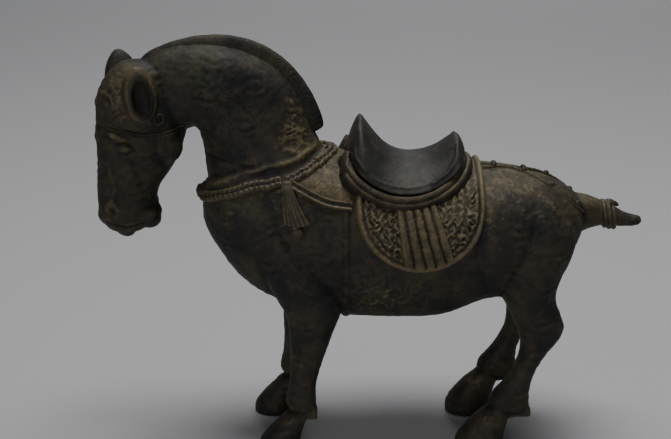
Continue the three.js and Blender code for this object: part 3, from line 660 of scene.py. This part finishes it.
def layStrap(name, guides, width, profile):
    # a band along a path on the skin; profile gives its height from across and along
    feet, normals = nearestSkin(smoothPath(guides, strapGrid["rows"]))
    for _ in range(3):
        feet[1:-1] = (feet[:-2] + 2 * feet[1:-1] + feet[2:]) / 4
    along = np.concatenate([[0], np.cumsum(np.linalg.norm(np.diff(feet, axis=0), axis=1))])
    across = np.cross(normals, np.gradient(feet, axis=0))
    across /= np.linalg.norm(across, axis=1)[:, None]
    u = np.linspace(-strapGrid["reach"], strapGrid["reach"], strapGrid["columns"])
    grid = feet[:, None, :] + across[:, None, :] * (u * width / 2)[None, :, None]
    shape = (len(feet), len(u))
    heights = profile(np.tile(u, (len(feet), 1)), np.tile(along[:, None], (1, len(u))))
    # the edges and both ends sink into the skin
    for share in (smoothStep(strapGrid["reach"], 0.9, np.abs(u))[None, :],
                  smoothStep(0, strapGrid["tip"], along)[:, None],
                  smoothStep(0, strapGrid["tip"], along[-1] - along)[:, None]):
        heights = heights * share + strapGrid["sunk"] * (1 - share)
    return reliefSheet(name, *asGrid(nearestSkin(grid.reshape(-1, 3)), shape), heights, keepAbove=-9)


def braided(high, twist):
    # two cords side by side, each twisted with a lay of 1.7 mm
    def profile(u, s):
        cords = high * (0.62 + 0.38 * np.abs(np.sin(math.pi * np.clip(u, -1, 1))))
        return cords + 0.12 * high * np.sin(2 * math.pi * s / 1.7 + np.sign(u) * twist * u * 2)
    return profile


def ridged(high, groove=0.45):
    # a flat strap with raised edges and a worn middle
    def profile(u, s):
        rim = np.exp(-((np.abs(u) - 0.62) / 0.32) ** 2)
        return high * (1 - groove) + high * groove * rim + 0.04 * np.sin(s * 3.1)
    return profile


def sideGuides(path, side):
    return [tuple(foot) for foot in flank(path, side)[0]]


harness = {
    "breast": {"guides": [(-28.4, 18.6, 95.4), (-33, 18.4, 94.6), (-38.7, 17.5, 92.8), (-44, 15.5, 90.2),
                          (-49.5, 11.5, 87.6), (-53, 6.5, 86), (-54.8, 0, 85.2)],
               "width": 3.4, "high": 1.15, "twist": 1.6, "base": 0.34},
    "withers": {"guides": [(-27.9, 18.6, 95.4), (-20.6, 15.6, 99.6), (-15.6, 10, 102.2),
                           (-12.6, 4, 103.4), (-12, 0, 103.6)],
                "width": 3.2, "high": 1.1, "twist": 2.4, "base": 0.4},
    "shoulder": {"path": [(-26.4, 93.4), (-19.9, 90.2), (-13.7, 87.8), (-6.2, 86.6)],
                 "width": 2.9, "high": 1.2, "groove": 0.6},
    "crupper": {"path": [(34.5, 94.4), (45.3, 93.6), (55, 90.6), (63, 85.4), (68.6, 80.8)],
                "width": 2, "high": 0.75, "studs": 4, "stud": (0.95, 0.95, 0.8)},
    "cheek": {"path": [(-85.5, 110.8), (-76, 107.8), (-68, 107.4), (-60.5, 109)],
              "width": 1.8, "high": 0.5, "buckle": (-69.6, 112.6, 1.5), "buckleWire": 0.55},
    "girth": {"x": -8.6, "width": 2.8, "high": 0.55, "top": 88.6, "axis": 66, "halfTurn": 2.7},
}
for word in ("breast", "withers"):  # over the middle, from side to side
    strap = harness[word]
    mirrored = [(x, -y, z) for x, y, z in strap["guides"]]
    band = layStrap(word + "Strap", mirrored[:-1] + strap["guides"][::-1], strap["width"],
                    braided(strap["high"], strap["twist"]))
    finishPiece(band, "rubbed_bronze", word + "_strap", base=strap["base"], scale=0.12)

for word, side in sides.items():
    strap = harness["shoulder"]
    band = layStrap(word + "ShoulderStrap", sideGuides(strap["path"], side), strap["width"],
                    ridged(strap["high"], strap["groove"]))
    finishPiece(band, "rubbed_bronze", word + "_shoulder_strap", base=0.42, scale=0.12)

    strap = harness["crupper"]
    guides = sideGuides(strap["path"], side)
    parts = [layStrap(word + "CrupperStrap", guides, strap["width"], ridged(strap["high"]))]
    path = smoothPath(guides, 0.4)
    for i in range(strap["studs"]):
        spot = path[int((i + 0.5) / strap["studs"] * len(path))]
        parts.append(standOn(ball((0, 0, 0), strap["stud"]), nearestSkin([spot]), strap["high"]))
    band = joinPieces(word + "CrupperStrap", parts)
    finishPiece(band, "rubbed_bronze", word + "_crupper_strap", base=0.34, scale=0.12)

    strap = harness["cheek"]
    guides = [tuple(cheek(x, z, side)[0][0]) for x, z in strap["path"]]
    band = layStrap(word + "CheekStrap", guides, strap["width"], ridged(strap["high"]))
    x, z, radius = strap["buckle"]
    buckle = standOn(ringAt((0, 0, 0), radius, strap["buckleWire"]), cheek(x, z, side), 0.25)
    band = joinPieces(word + "CheekStrap", [band, buckle])
    finishPiece(band, "rubbed_bronze", word + "_cheek_strap", base=0.1, scale=0.16)

strap = harness["girth"]
turns = np.linspace(-math.pi / 2 - strap["halfTurn"], -math.pi / 2 + strap["halfTurn"], 72)
starts = [(strap["x"], outside * math.cos(t), strap["axis"] + outside * math.sin(t)) for t in turns]
feet, _ = raySkin(starts, [(strap["x"], 0, strap["axis"])] * len(turns))
feet = [tuple(foot) for foot in feet if foot[2] < strap["top"]]
girth = layStrap("girth", feet[::3] + [feet[-1]], strap["width"],
                 lambda u, s: strap["high"] * (1 - 0.9 * u * u) + 0.04 * np.sin(s * 1.7))
finishPiece(girth, "dark_bronze", "girth", rubAndShading=0.25 + 0.25 * bulgeOf(girth, 4) / 0.2)
print("straps laid")

# saddle cloth, pads and fenders share these side-view circles
layout = {"flap": (14.7, 87.2), "flapRadius": 20.5, "seat": (10.5, 113), "seatRadius": 22.6,
          "padStep": 1.85, "axis": 70, "hidden": -0.6}  # a height of hidden is cut away
flapX, flapZ = layout["flap"]
seatX, seatZ = layout["seat"]


def wrapGrid(xLow, xHigh, reach, step=0.4):
    # a grid over the back, from one flank to the other, by turns of up to reach each way
    backRadius = 26
    xs = np.arange(xLow, xHigh + step, step)
    turns = np.linspace(-reach, reach, int(2 * reach * backRadius / step))
    starts = [(x, outside * math.sin(t), layout["axis"] + outside * math.cos(t))
              for x in xs for t in turns]
    aims = [(x, 0, layout["axis"]) for x in xs for _ in turns]
    return asGrid(raySkin(starts, aims), (len(xs), len(turns)))


def quarterRound(share):
    # how far a rounded edge has risen, for a share of its width
    return np.sqrt(np.clip(1 - (1 - np.clip(share, 0, 1)) ** 2, 0, 1))


cloth = {
    "high": 1.4, "edge": 0.9, "hemWidth": 2.2, "hemRise": 0.75, "weave": 0.16,
    "curlRise": 0.8, "curlPitch": 1.75, "rubbleShare": 0.55, "topZ": 88.5, "curlsTop": (92, 90),
    "curls": [(-1.2, 87.6, 2.7, 1), (0.6, 82, 2.8, -1), (3.6, 76.6, 2.6, 1), (5.6, 82.2, 2, -1),
              (7.6, 72.8, 2.2, -1), (4.2, 87.4, 1.8, 1), (8, 78, 1.7, 1), (31.6, 88, 2.6, -1),
              (30.4, 82.2, 2.8, 1), (27.8, 76.4, 2.4, -1), (26.4, 82.6, 2, 1), (24.4, 88, 2.1, -1),
              (22.8, 82, 1.7, 1), (28, 88.2, 1.6, 1), (24.4, 71.8, 1.7, 1)],
}
feet, normals = wrapGrid(-7, 37, 1.9)
gx, gz = feet[..., 0], feet[..., 2]
inside = layout["flapRadius"] - np.hypot(gx - flapX, np.minimum(gz, cloth["topZ"]) - flapZ)
height = np.where(inside > 0, cloth["high"] * quarterRound(inside / cloth["edge"]), layout["hidden"])
hem = np.clip(inside / cloth["hemWidth"], 0, 1)
height += np.where(inside > 0, cloth["hemRise"] * np.sin(math.pi * hem) ** 0.8, 0)
weave = np.sin(inside * 2.6 + 0.6) * smoothStep(2, 3, inside)
height += cloth["weave"] * np.where(inside > 0, weave, 0)
# scrolls wander a little, over a bed of small lumps
warpX = gx + 0.45 * np.sin(gz * 1.3 + 0.7) + 0.25 * np.sin(gz * 2.9 + gx)
warpZ = gz + 0.45 * np.sin(gx * 1.5 + 0.3) + 0.25 * np.sin(gx * 2.7 - gz)
scrolls = curlField(warpX, warpZ, cloth["curls"], cloth["curlPitch"])
lumpsX = np.sin(warpX * 3.1 + 2 * np.sin(warpZ * 1.1))
lumpsZ = np.sin(warpZ * 3.4 + 2 * np.sin(warpX * 0.9))
rubble = 0.5 + 0.25 * (lumpsX + lumpsZ)
scrolls = np.maximum(scrolls, cloth["rubbleShare"] * rubble * smoothStep(0.1, 0.5, rubble))
withinHem = smoothStep(2, 2.8, inside) * smoothStep(*cloth["curlsTop"], gz)
height += cloth["curlRise"] * scrolls * withinHem
saddleCloth = reliefSheet("saddleCloth", feet, normals, height)
finishPiece(saddleCloth, "dark_bronze", "saddle_cloth", base=0.62, scale=0.13)

pads = {  # each roll's steps out from the seat, and the heights of its crest and foot
    "front": -9.2, "rear": 33.2, "ridgeX": -2, "ridgeGap": 9, "wall": 1,
    "rolls": [("lowerSaddlePad", "lower_saddle_pad", 2, 3.9, 1.3),
              ("upperSaddlePad", "upper_saddle_pad", 1, 5.2, 2.4)],
}
padStep = layout["padStep"]
feet, normals = wrapGrid(-12.5, 35, 1.4, 0.27)
for name, node, step, high, foot in pads["rolls"]:
    radius = layout["seatRadius"] + step * padStep
    shown = feet + normals * (high * 0.85)
    reach = np.minimum(shown[..., 0] - pads["front"], pads["rear"] - shown[..., 0])
    besideRidge = np.abs(shown[..., 1]) - pads["ridgeGap"]
    reach = np.minimum(reach, np.where(shown[..., 0] < pads["ridgeX"], besideRidge, 9))
    fromSeat = np.hypot(shown[..., 0] - seatX, shown[..., 2] - seatZ)
    inside = np.minimum(radius - fromSeat, reach)
    roll = foot + (high - foot) * quarterRound((inside + 0.2) / (padStep * 0.5 + 0.2))
    # behind its crest the roll dips under the next one, and then under the seat
    dip = 0.75 * (high - foot) * smoothStep(padStep * 0.6, padStep, inside)
    dip += 3 * smoothStep(padStep * 2, padStep * 2.6, inside)
    outerEdge = 1.6 * smoothStep(-0.2, -0.7, inside)
    height = np.where(inside > -0.7, roll - dip - outerEdge, layout["hidden"])
    made = reliefSheet(name, feet, normals, height, wall=pads["wall"])
    x, y, z = coordsOf(made).T
    # each roll's crest is rubbed bright, and this also paints a highlight line along it
    crest = bandNear(radius - np.hypot(x - seatX, z - seatZ) - padStep * 0.55, 0.55)
    finishPiece(made, "rubbed_bronze", node, rubAndShading=0.2 + 0.5 * crest)

fender = {  # front edge, rear edge and height of its top and its foot
    "top": (5.6, 18.4, 92), "foot": (9.4, 26.6, 68.6), "pleats": 5, "pleatRise": 1.4,
    "high": 1.5, "rim": 0.9, "rimFoot": 0.7, "hemGap": 0.7, "padGap": 0.1, "flare": 1.15,
}
xs = np.arange(6, 28.5, 0.3)
zs = np.arange(66.5, 93, 0.4)
gx, gz = np.meshgrid(xs, zs, indexing="ij")
for word, side in sides.items():
    feet, normals = asGrid(flank([(x, z) for x in xs for z in zs], side), gx.shape)
    topZ, footZ = fender["top"][2], fender["foot"][2]
    drop = np.clip((topZ - gz) / (topZ - footZ), 0, 1)
    frontX, rearX = (fender["top"][i] + (fender["foot"][i] - fender["top"][i]) * drop ** fender["flare"]
                     for i in (0, 1))
    share = (gx - frontX) / (rearX - frontX)
    fold = np.abs(np.sin(math.pi * np.clip(share, 0, 1) * fender["pleats"])) ** 0.6
    flapEdge = layout["flapRadius"] - fender["hemGap"] - np.hypot(gx - flapX, gz - flapZ)
    shown = feet + normals * 2
    belowPads = (np.hypot(shown[..., 0] - seatX, shown[..., 2] - seatZ)
                 - layout["seatRadius"] - 2 * padStep - fender["padGap"])
    inside = np.minimum(np.minimum(gx - frontX, rearX - gx), np.minimum(flapEdge, belowPads))
    rim = fender["rim"]
    height = fender["high"] + fender["pleatRise"] * (0.25 + 0.75 * fold) * (0.75 + 0.35 * drop)
    height = np.where(inside > 0, rim + (height - rim) * smoothStep(0, 0.7, inside), layout["hidden"])
    height = np.where((inside <= 0) & (inside > -0.35), fender["rimFoot"], height)
    made = reliefSheet(word + "Fender", feet, normals, height)
    finishPiece(made, "dark_bronze", word + "_fender", base=0.62, scale=0.14)
print("cloth, pads and fenders laid")

# a crescent seat with a tall pommel, cut to the arc of the pads
saddle = {
    "form": {"segments": 28, "rings": [
        (-9.4, 0, 80, 18, 10, 90), (-8, 0, 80, 23.6, 14.6, 90), (-6.2, 0, 80, 28.8, 17.2, 90),
        (-4.3, 0, 80, 32.1, 18.4, 90), (-2.6, 0, 80, 29.8, 19.2, 90), (-0.6, 0, 80, 26.6, 19.8, 90),
        (3.4, 0, 80, 21.6, 21, 90), (8, 0, 80, 18.8, 22, 90), (13, 0, 80, 18.2, 22.2, 90),
        (18.4, 0, 80, 19.4, 21.8, 90), (22.8, 0, 80, 22, 21, 90), (25.4, 0, 80, 24.4, 20, 90),
        (27, 0, 80, 25.5, 20, 90), (28.6, 0, 80, 23.4, 18.6, 90), (30.6, 0, 80, 18, 15, 90)]},
    "rimLine": 1.9, "rimRise": 0.16, "voxel": 0.3, "smoothing": 5, "grain": 0.08,
    "ridges": [([(26.6, 104.6), (26.2, 100.6), (23.4, 96.4), (18.6, 93.4)], 0.5, 0.5),
               ([(-4.2, 110.8), (-6.4, 106.4), (-5.6, 101), (-2.4, 97.2)], 0.4, 0.45)],
}
seat = loftForm("saddle", saddle["form"])
arc = [(seatX + layout["seatRadius"] * math.cos(t), seatZ + layout["seatRadius"] * math.sin(t))
       for t in np.linspace(0, 2 * math.pi, 96, endpoint=False)]
boolean(seat, prismAt(arc, -40, 40), "INTERSECT")
boolean(seat, boxAt((-20, -40, 84), (40, 40, 140)), "INTERSECT")
remesh(seat, saddle["voxel"], saddle["smoothing"])
x, y, z = coordsOf(seat).T
fromEdge = layout["seatRadius"] - np.hypot(x - seatX, z - seatZ)
facing = np.abs(coordsOf(seat, "normal")[:, 1])
height = saddle["rimRise"] * bandNear(fromEdge - saddle["rimLine"], 0.4) * smoothStep(0.3, 0.6, facing)
for line, depth, width in saddle["ridges"]:
    height += depth * bandNear(lineDistance(x, z, line), width)
push(seat, height * smoothStep(0.2, 0.5, facing))
castGrain(seat, saddle["grain"])
finishPiece(seat, "slate_bronze", "saddle", base=0.3, scale=0.1)
print("saddle set")

# clipped mane with fine hair lines, ending in a step above the withers
maneLook = {"hairPitch": 1.1, "hairDepth": 0.045, "lock": 5.2, "lockDepth": 0.03,
            "centre": (-46, 108), "radius": 26, "grain": 0.07}  # hair fans out from the centre
mane = loftForm("maneRidge", maneForm)
remesh(mane, 0.3, smoothing=3)
x, y, z = coordsOf(mane).T
maneX, maneZ = maneLook["centre"]
along = np.arctan2(z - maneZ, maneX - x) * maneLook["radius"]
lean = along + 0.35 * np.abs(y) + 0.5 * np.sin(z * 0.9) + 0.3 * np.sin(x * 1.3 + y)
hair = maneLook["hairDepth"] * np.cos(2 * math.pi * lean / maneLook["hairPitch"])
locks = maneLook["lockDepth"] * np.cos(2 * math.pi * lean / maneLook["lock"])
push(mane, hair * smoothStep(0.3, 1.4, np.abs(y)) + locks)
castGrain(mane, maneLook["grain"])
finishPiece(mane, "dark_bronze", "mane", base=0.24, scale=0.09)

# an ear is a leaf shape with its outer side scooped hollow, and a rubbed rim
earLook = {"radii": (5.9, 3.6, 9.2), "at": {"left": (-75.2, 9.9, 120.8), "right": (-78.4, 9.4, 122)},
           "lean": -8, "splay": 9, "scoop": (3.3, 3.4, 6.9), "scoopOut": 4.4,
           "taper": 0.22, "tip": 0.6, "grain": 0.07}
for word, side in sides.items():
    ear = ball((0, 0, 0), earLook["radii"])
    points = coordsOf(ear)
    rise = points[:, 2] / earLook["radii"][2]
    points[:, 0] *= 1 - earLook["taper"] * np.clip(rise, 0, 1) ** 2
    points[:, 2] += earLook["tip"] * np.clip(rise, 0, 1) ** 4
    setCoords(ear, points)
    remesh(ear, 0.3)
    boolean(ear, ball((0, side * earLook["scoopOut"], -0.2), earLook["scoop"]))
    remesh(ear, 0.28, smoothing=3)
    inX, inY, inZ = (coordsOf(ear) / earLook["scoop"]).T
    outer = inY * side > -0.2
    around = np.hypot(inX, inZ)
    rubbed = 0.24 + 0.5 * bandNear(around - 1.3, 0.25) * outer
    ex, ey, ez = earLook["at"][word]
    place(ear, (0, 0, 0), turn=(-earLook["splay"] * side, earLook["lean"], 0))
    turnHead(place(ear, (ex, ey * side, ez)))
    rename(ear, word + "Ear")
    castGrain(ear, earLook["grain"])
    rubAndShading = (rubbed + 0.3 * bulgeOf(ear, 8)) * (1 - 0.5 * smoothStep(1.15, 0.95, around) * outer)
    finishPiece(ear, "dark_bronze", word + "_ear", rubAndShading=rubAndShading)


def tubeAlong(path, radii):
    # a round strand with closed ends
    segments = 10
    rings = []
    tangents = np.gradient(path, axis=0)
    clearSelection()
    bpy.ops.mesh.primitive_cylinder_add(vertices=segments, radius=mm, depth=mm, end_fill_type="NGON")
    made = bpy.context.object
    mesh = bmesh.new()
    for spot, tangent, radius in zip(path, tangents, radii):
        turn = Vector(tangent).to_track_quat("Z", "Y").to_matrix()
        ring = []
        for corner in range(segments):
            angle = 2 * math.pi * corner / segments
            flat = Vector((math.cos(angle) * radius, math.sin(angle) * radius, 0))
            ring.append(mesh.verts.new((Vector(spot) + turn @ flat) * mm))
        rings.append(ring)
    for first, second in zip(rings, rings[1:]):
        for corner in range(segments):
            following = (corner + 1) % segments
            mesh.faces.new((first[corner], first[following], second[following], second[corner]))
    mesh.faces.new(rings[0][::-1])
    mesh.faces.new(rings[-1])
    mesh.to_mesh(made.data)
    mesh.free()
    return made


tassel = {"top": (-27.3, 93), "foot": (-24, 80.6), "strands": 6, "fanTop": 2.2, "fanFoot": 7,
          "footRise": 1.6, "points": 9, "radius": (0.6, 0.72), "bell": (-23.9, 78.6),
          "bellRadii": (2.1, 1.7, 2.31), "capRadii": (1.2, 1.3, 0.8), "knotRadii": (1.9, 1.3, 1.3)}
for word, side in sides.items():
    parts = []
    (topX, topZ), (footX, footZ) = tassel["top"], tassel["foot"]
    for i in range(tassel["strands"]):
        lean = i / (tassel["strands"] - 1) - 0.5
        startX, endX = topX + tassel["fanTop"] * lean, footX + tassel["fanFoot"] * lean
        endZ = footZ + tassel["footRise"] * abs(lean)
        feet, normals = flank([(startX + (endX - startX) * t ** 1.3, topZ + (endZ - topZ) * t)
                               for t in np.linspace(0, 1, tassel["points"])], side)
        belly = np.sin(np.linspace(0.3, 2.4, tassel["points"]))
        lift = 0.8 + 0.7 * math.cos(lean * 3) * belly
        parts.append(tubeAlong(feet + normals * lift[:, None],
                               np.linspace(*tassel["radius"], tassel["points"])))
    foot, normal = (hit[0] for hit in flank([tassel["bell"]], side))
    parts.append(ball(foot + normal * 0.4, tassel["bellRadii"]))
    parts.append(ball(foot + normal * 0.5 + np.array([-0.6, 0, 1.9]), tassel["capRadii"]))
    foot, normal = (hit[0] for hit in flank([tassel["top"]], side))
    parts.append(ball(foot + normal * 0.4, tassel["knotRadii"]))
    made = joinPieces(word + "Tassel", parts)
    remesh(made, 0.2, smoothing=2)
    finishPiece(made, "rubbed_bronze", word + "_tassel", base=0.5)

chestBoss = {"at": (-55.4, 0, 86), "radii": (2.1, 2.5, 2.4), "ring": (-54.6, 0, 86),
             "ringSize": (2.5, 0.7), "beads": 6, "beadX": -56.4, "beadCircle": 1.5, "bead": (0.7, 0.8, 0.8)}
turns = np.linspace(0, 2 * math.pi, chestBoss["beads"], endpoint=False)
beadAt = [(chestBoss["beadX"], chestBoss["beadCircle"] * math.cos(t),
           chestBoss["at"][2] + chestBoss["beadCircle"] * math.sin(t)) for t in turns]
boss = joinPieces("chestBoss", [ball(chestBoss["at"], chestBoss["radii"]),
                                ringAt(chestBoss["ring"], *chestBoss["ringSize"], (0, 90, 0))]
                  + [ball(spot, chestBoss["bead"]) for spot in beadAt])
remesh(boss, 0.2, smoothing=2)
finishPiece(boss, "rubbed_bronze", "chest_boss", base=0.35)

tailTie = {
    "rings": [(75.8, 78.1, 4.1), (77.3, 77.8, 4.2), (78.8, 77.3, 3.8)], "cord": 0.8, "lean": 84,
    "knot": [((77.4, 0, 81.6), (2.1, 1.9, 1.5), 0), ((79.6, 0.9, 81.2), (1.5, 0.8, 0.8), 30),
             ((75.6, -0.9, 82), (1.4, 0.8, 0.8), -24)],  # place, radii, lean
}
parts = [ringAt((x, 0, z), radius, tailTie["cord"], (0, tailTie["lean"], 0))
         for x, z, radius in tailTie["rings"]]
parts += [ball(spot, radii, (0, lean, 0)) for spot, radii, lean in tailTie["knot"]]
binding = joinPieces("tailBinding", parts)
remesh(binding, 0.22, smoothing=2)
finishPiece(binding, "rubbed_bronze", "tail_binding", base=0.38)
print("small castings made")

# wear and painted shade over the whole body: high places rubbed and hollows shaded, where hands and straps
# rub, and painted shade on the top of the neck
wearAndShadeZones = [  # x, z, reach in x, reach in z, how strong
    (-22, 92, 8, 5, 0.3), (-18, 102, 9, 5, 0.4), (48, 93, 18, 7, 0.34), (68, 84, 8, 7, 0.3),
    (-25, 109, 5, 9, 0.35), (-9, 89, 4, 4, 0.45), (-13, 94, 8, 5, 0.36), (-76, 119, 9, 9, 0.36),
    # the zone of negative strength at x -42, z 124 is painted shade, darkening the neck's top where the
    # overhead light makes a highlight
    (-42, 124, 16, 12, -0.22), (35, 12.5, 5, 3, 0.28), (-31, 5, 5, 4, 0.12), (2, 56, 9, 10, 0.16),
    (-42, 90, 12, 7, 0.15), (36, 84, 6, 10, 0.2)]
x, y, z = coordsOf(body).T
bodyRubAndShading = 0.26 + 0.45 * np.clip(bulgeOf(body, 10) / 0.22, -0.6, 0.9)
for wx, wz, reachX, reachZ, strong in wearAndShadeZones:
    bodyRubAndShading += strong * patchNear(x - wx, z - wz, reachX, reachZ)
bodyRubAndShading -= 0.05 * smoothStep(70, 40, z)  # a little darker towards the bottom, below z 70
tree = KDTree(len(x))
for index, point in enumerate(coordsOf(body)):
    tree.insert(point, index)
tree.balance()

# the casting comes apart along these side outlines, and each section is its own piece
neckPlane = {"x": -34.6, "z": 93.6, "tilt": 24}


def neckEdge(x):
    slope = math.tan(math.radians(neckPlane["tilt"]))
    return (x, neckPlane["z"] + (x - neckPlane["x"]) * slope)


def hoofEdge(x, z, tilt, *ends):
    # both ends of the slanted cut through a place on the pastern
    rise = math.tan(math.radians(tilt))
    return [(end, z + (end - x) * rise) for end in ends]


def slab(xLow, xHigh, zLow, zHigh):
    return [(xLow, zLow), (xHigh, zLow), (xHigh, zHigh), (xLow, zHigh)]


middle = (-40, 40)
sections = [
    ("head", "head", [(-100, 60), (-60.5, 60), (-57.4, 96), (-57, 103.9), (-68, 131), (-72, 145),
                      (-100, 145)], middle),
    ("neck", "neck", [neckEdge(-62), neckEdge(0), (0, 150), (-80, 150), (-80, 106), (-57, 103)], middle),
    ("tail", "tail", slab(68.6, 100, 60, 100), (-20, 20))]
for word, side in sides.items():
    lead = rightLead["fore"] if side > 0 else 0
    half = (-40, 0) if side < 0 else (0, 40)
    sections += [
        (word + "ForeHoof", word + "_fore_hoof",
         [(-50, -5), (-10, -5), *hoofEdge(-29.6 - lead, 11.6, -28, -10, -50)], half),
        (word + "HindHoof", word + "_hind_hoof",
         [(20, -5), (60, -5), *hoofEdge(36.5, 16.2, -34, 60, 20)], half),
        (word + "Foreleg", word + "_foreleg", slab(-45, -5, -5, 51.4), half),
        (word + "HindLeg", word + "_hind_leg", slab(30, 70, -5, 50), half)]

pieces = []
for name, node, outline, (yLow, yHigh) in sections:
    section = bpy.data.objects.new(name, body.data.copy())
    bpy.context.collection.objects.link(section)
    boolean(section, prismAt(outline, yLow, yHigh), "INTERSECT")
    boolean(body, prismAt(outline, yLow, yHigh))
    pieces.append((name, node, section))
pieces.append(("trunk", "trunk", body))
for name, node, section in pieces:
    rename(section, name + "Casting")
    rubAndShading = np.array([bodyRubAndShading[tree.find(point)[1]] for point in coordsOf(section)])
    finishPiece(section, "dark_bronze", node, rubAndShading=rubAndShading)
print("sections parted")

studio = {  # places in metres, and each light's place, aim, width, height and power
    "floorSize": 6, "floorColor": (0.4, 0.4, 0.41), "floorRoughness": 0.85,
    "lights": {"overheadSoftbox": ((0.02, 0.03, 0.8), (0, 0, 0.05), 0.42, 0.42, 5.7),
               "frontFill": ((-0.35, -1.1, 0.16), (0, 0, 0.07), 1.1, 0.297, 3.3),
               "backdropLight": ((0.2, 1.5, 1), (0.1, 1.6, 0), 0.8, 0.8, 8)},
    "surround": 0.11, "surroundColor": (0.8, 0.82, 0.85),
    "lens": 73.5, "cameraAt": (-0.012, -0.4255, 0.2224), "lookAt": (-0.012, 0, 0.0759),
}
clearSelection()
bpy.ops.mesh.primitive_plane_add(size=studio["floorSize"])
floor = bpy.context.object
floor.name = "studioFloor"
floorMaterial = bpy.data.materials.new("paleFloor")
floorMaterial.use_nodes = True
floorShader = floorMaterial.node_tree.nodes["Principled BSDF"]
floorShader.inputs["Base Color"].default_value = (*studio["floorColor"], 1)
floorShader.inputs["Roughness"].default_value = studio["floorRoughness"]
floor.data.materials.append(floorMaterial)


def hang(name, kind, at, target):
    # a light or the camera, in its place and turned to its target
    holder = bpy.data.objects.new(name, kind)
    bpy.context.collection.objects.link(holder)
    holder.location = at
    holder.rotation_euler = (Vector(target) - Vector(at)).to_track_quat("-Z", "Y").to_euler()
    return holder


for name, (at, target, wide, tall, power) in studio["lights"].items():
    light = bpy.data.lights.new(name, "AREA")
    light.shape = "ELLIPSE"
    light.size = wide
    light.size_y = tall
    light.energy = power
    hang(name, light, at, target)
world = bpy.data.worlds.new("softSurround")
world.use_nodes = True
surround = world.node_tree.nodes["Background"]
surround.inputs["Color"].default_value = (*studio["surroundColor"], 1)
surround.inputs["Strength"].default_value = studio["surround"]
bpy.context.scene.world = world

camera = bpy.data.cameras.new("studioCamera")
camera.lens = studio["lens"]
camera.sensor_width = 36
camera.clip_start = 0.01
bpy.context.scene.camera = hang("studioCamera", camera, studio["cameraAt"], studio["lookAt"])
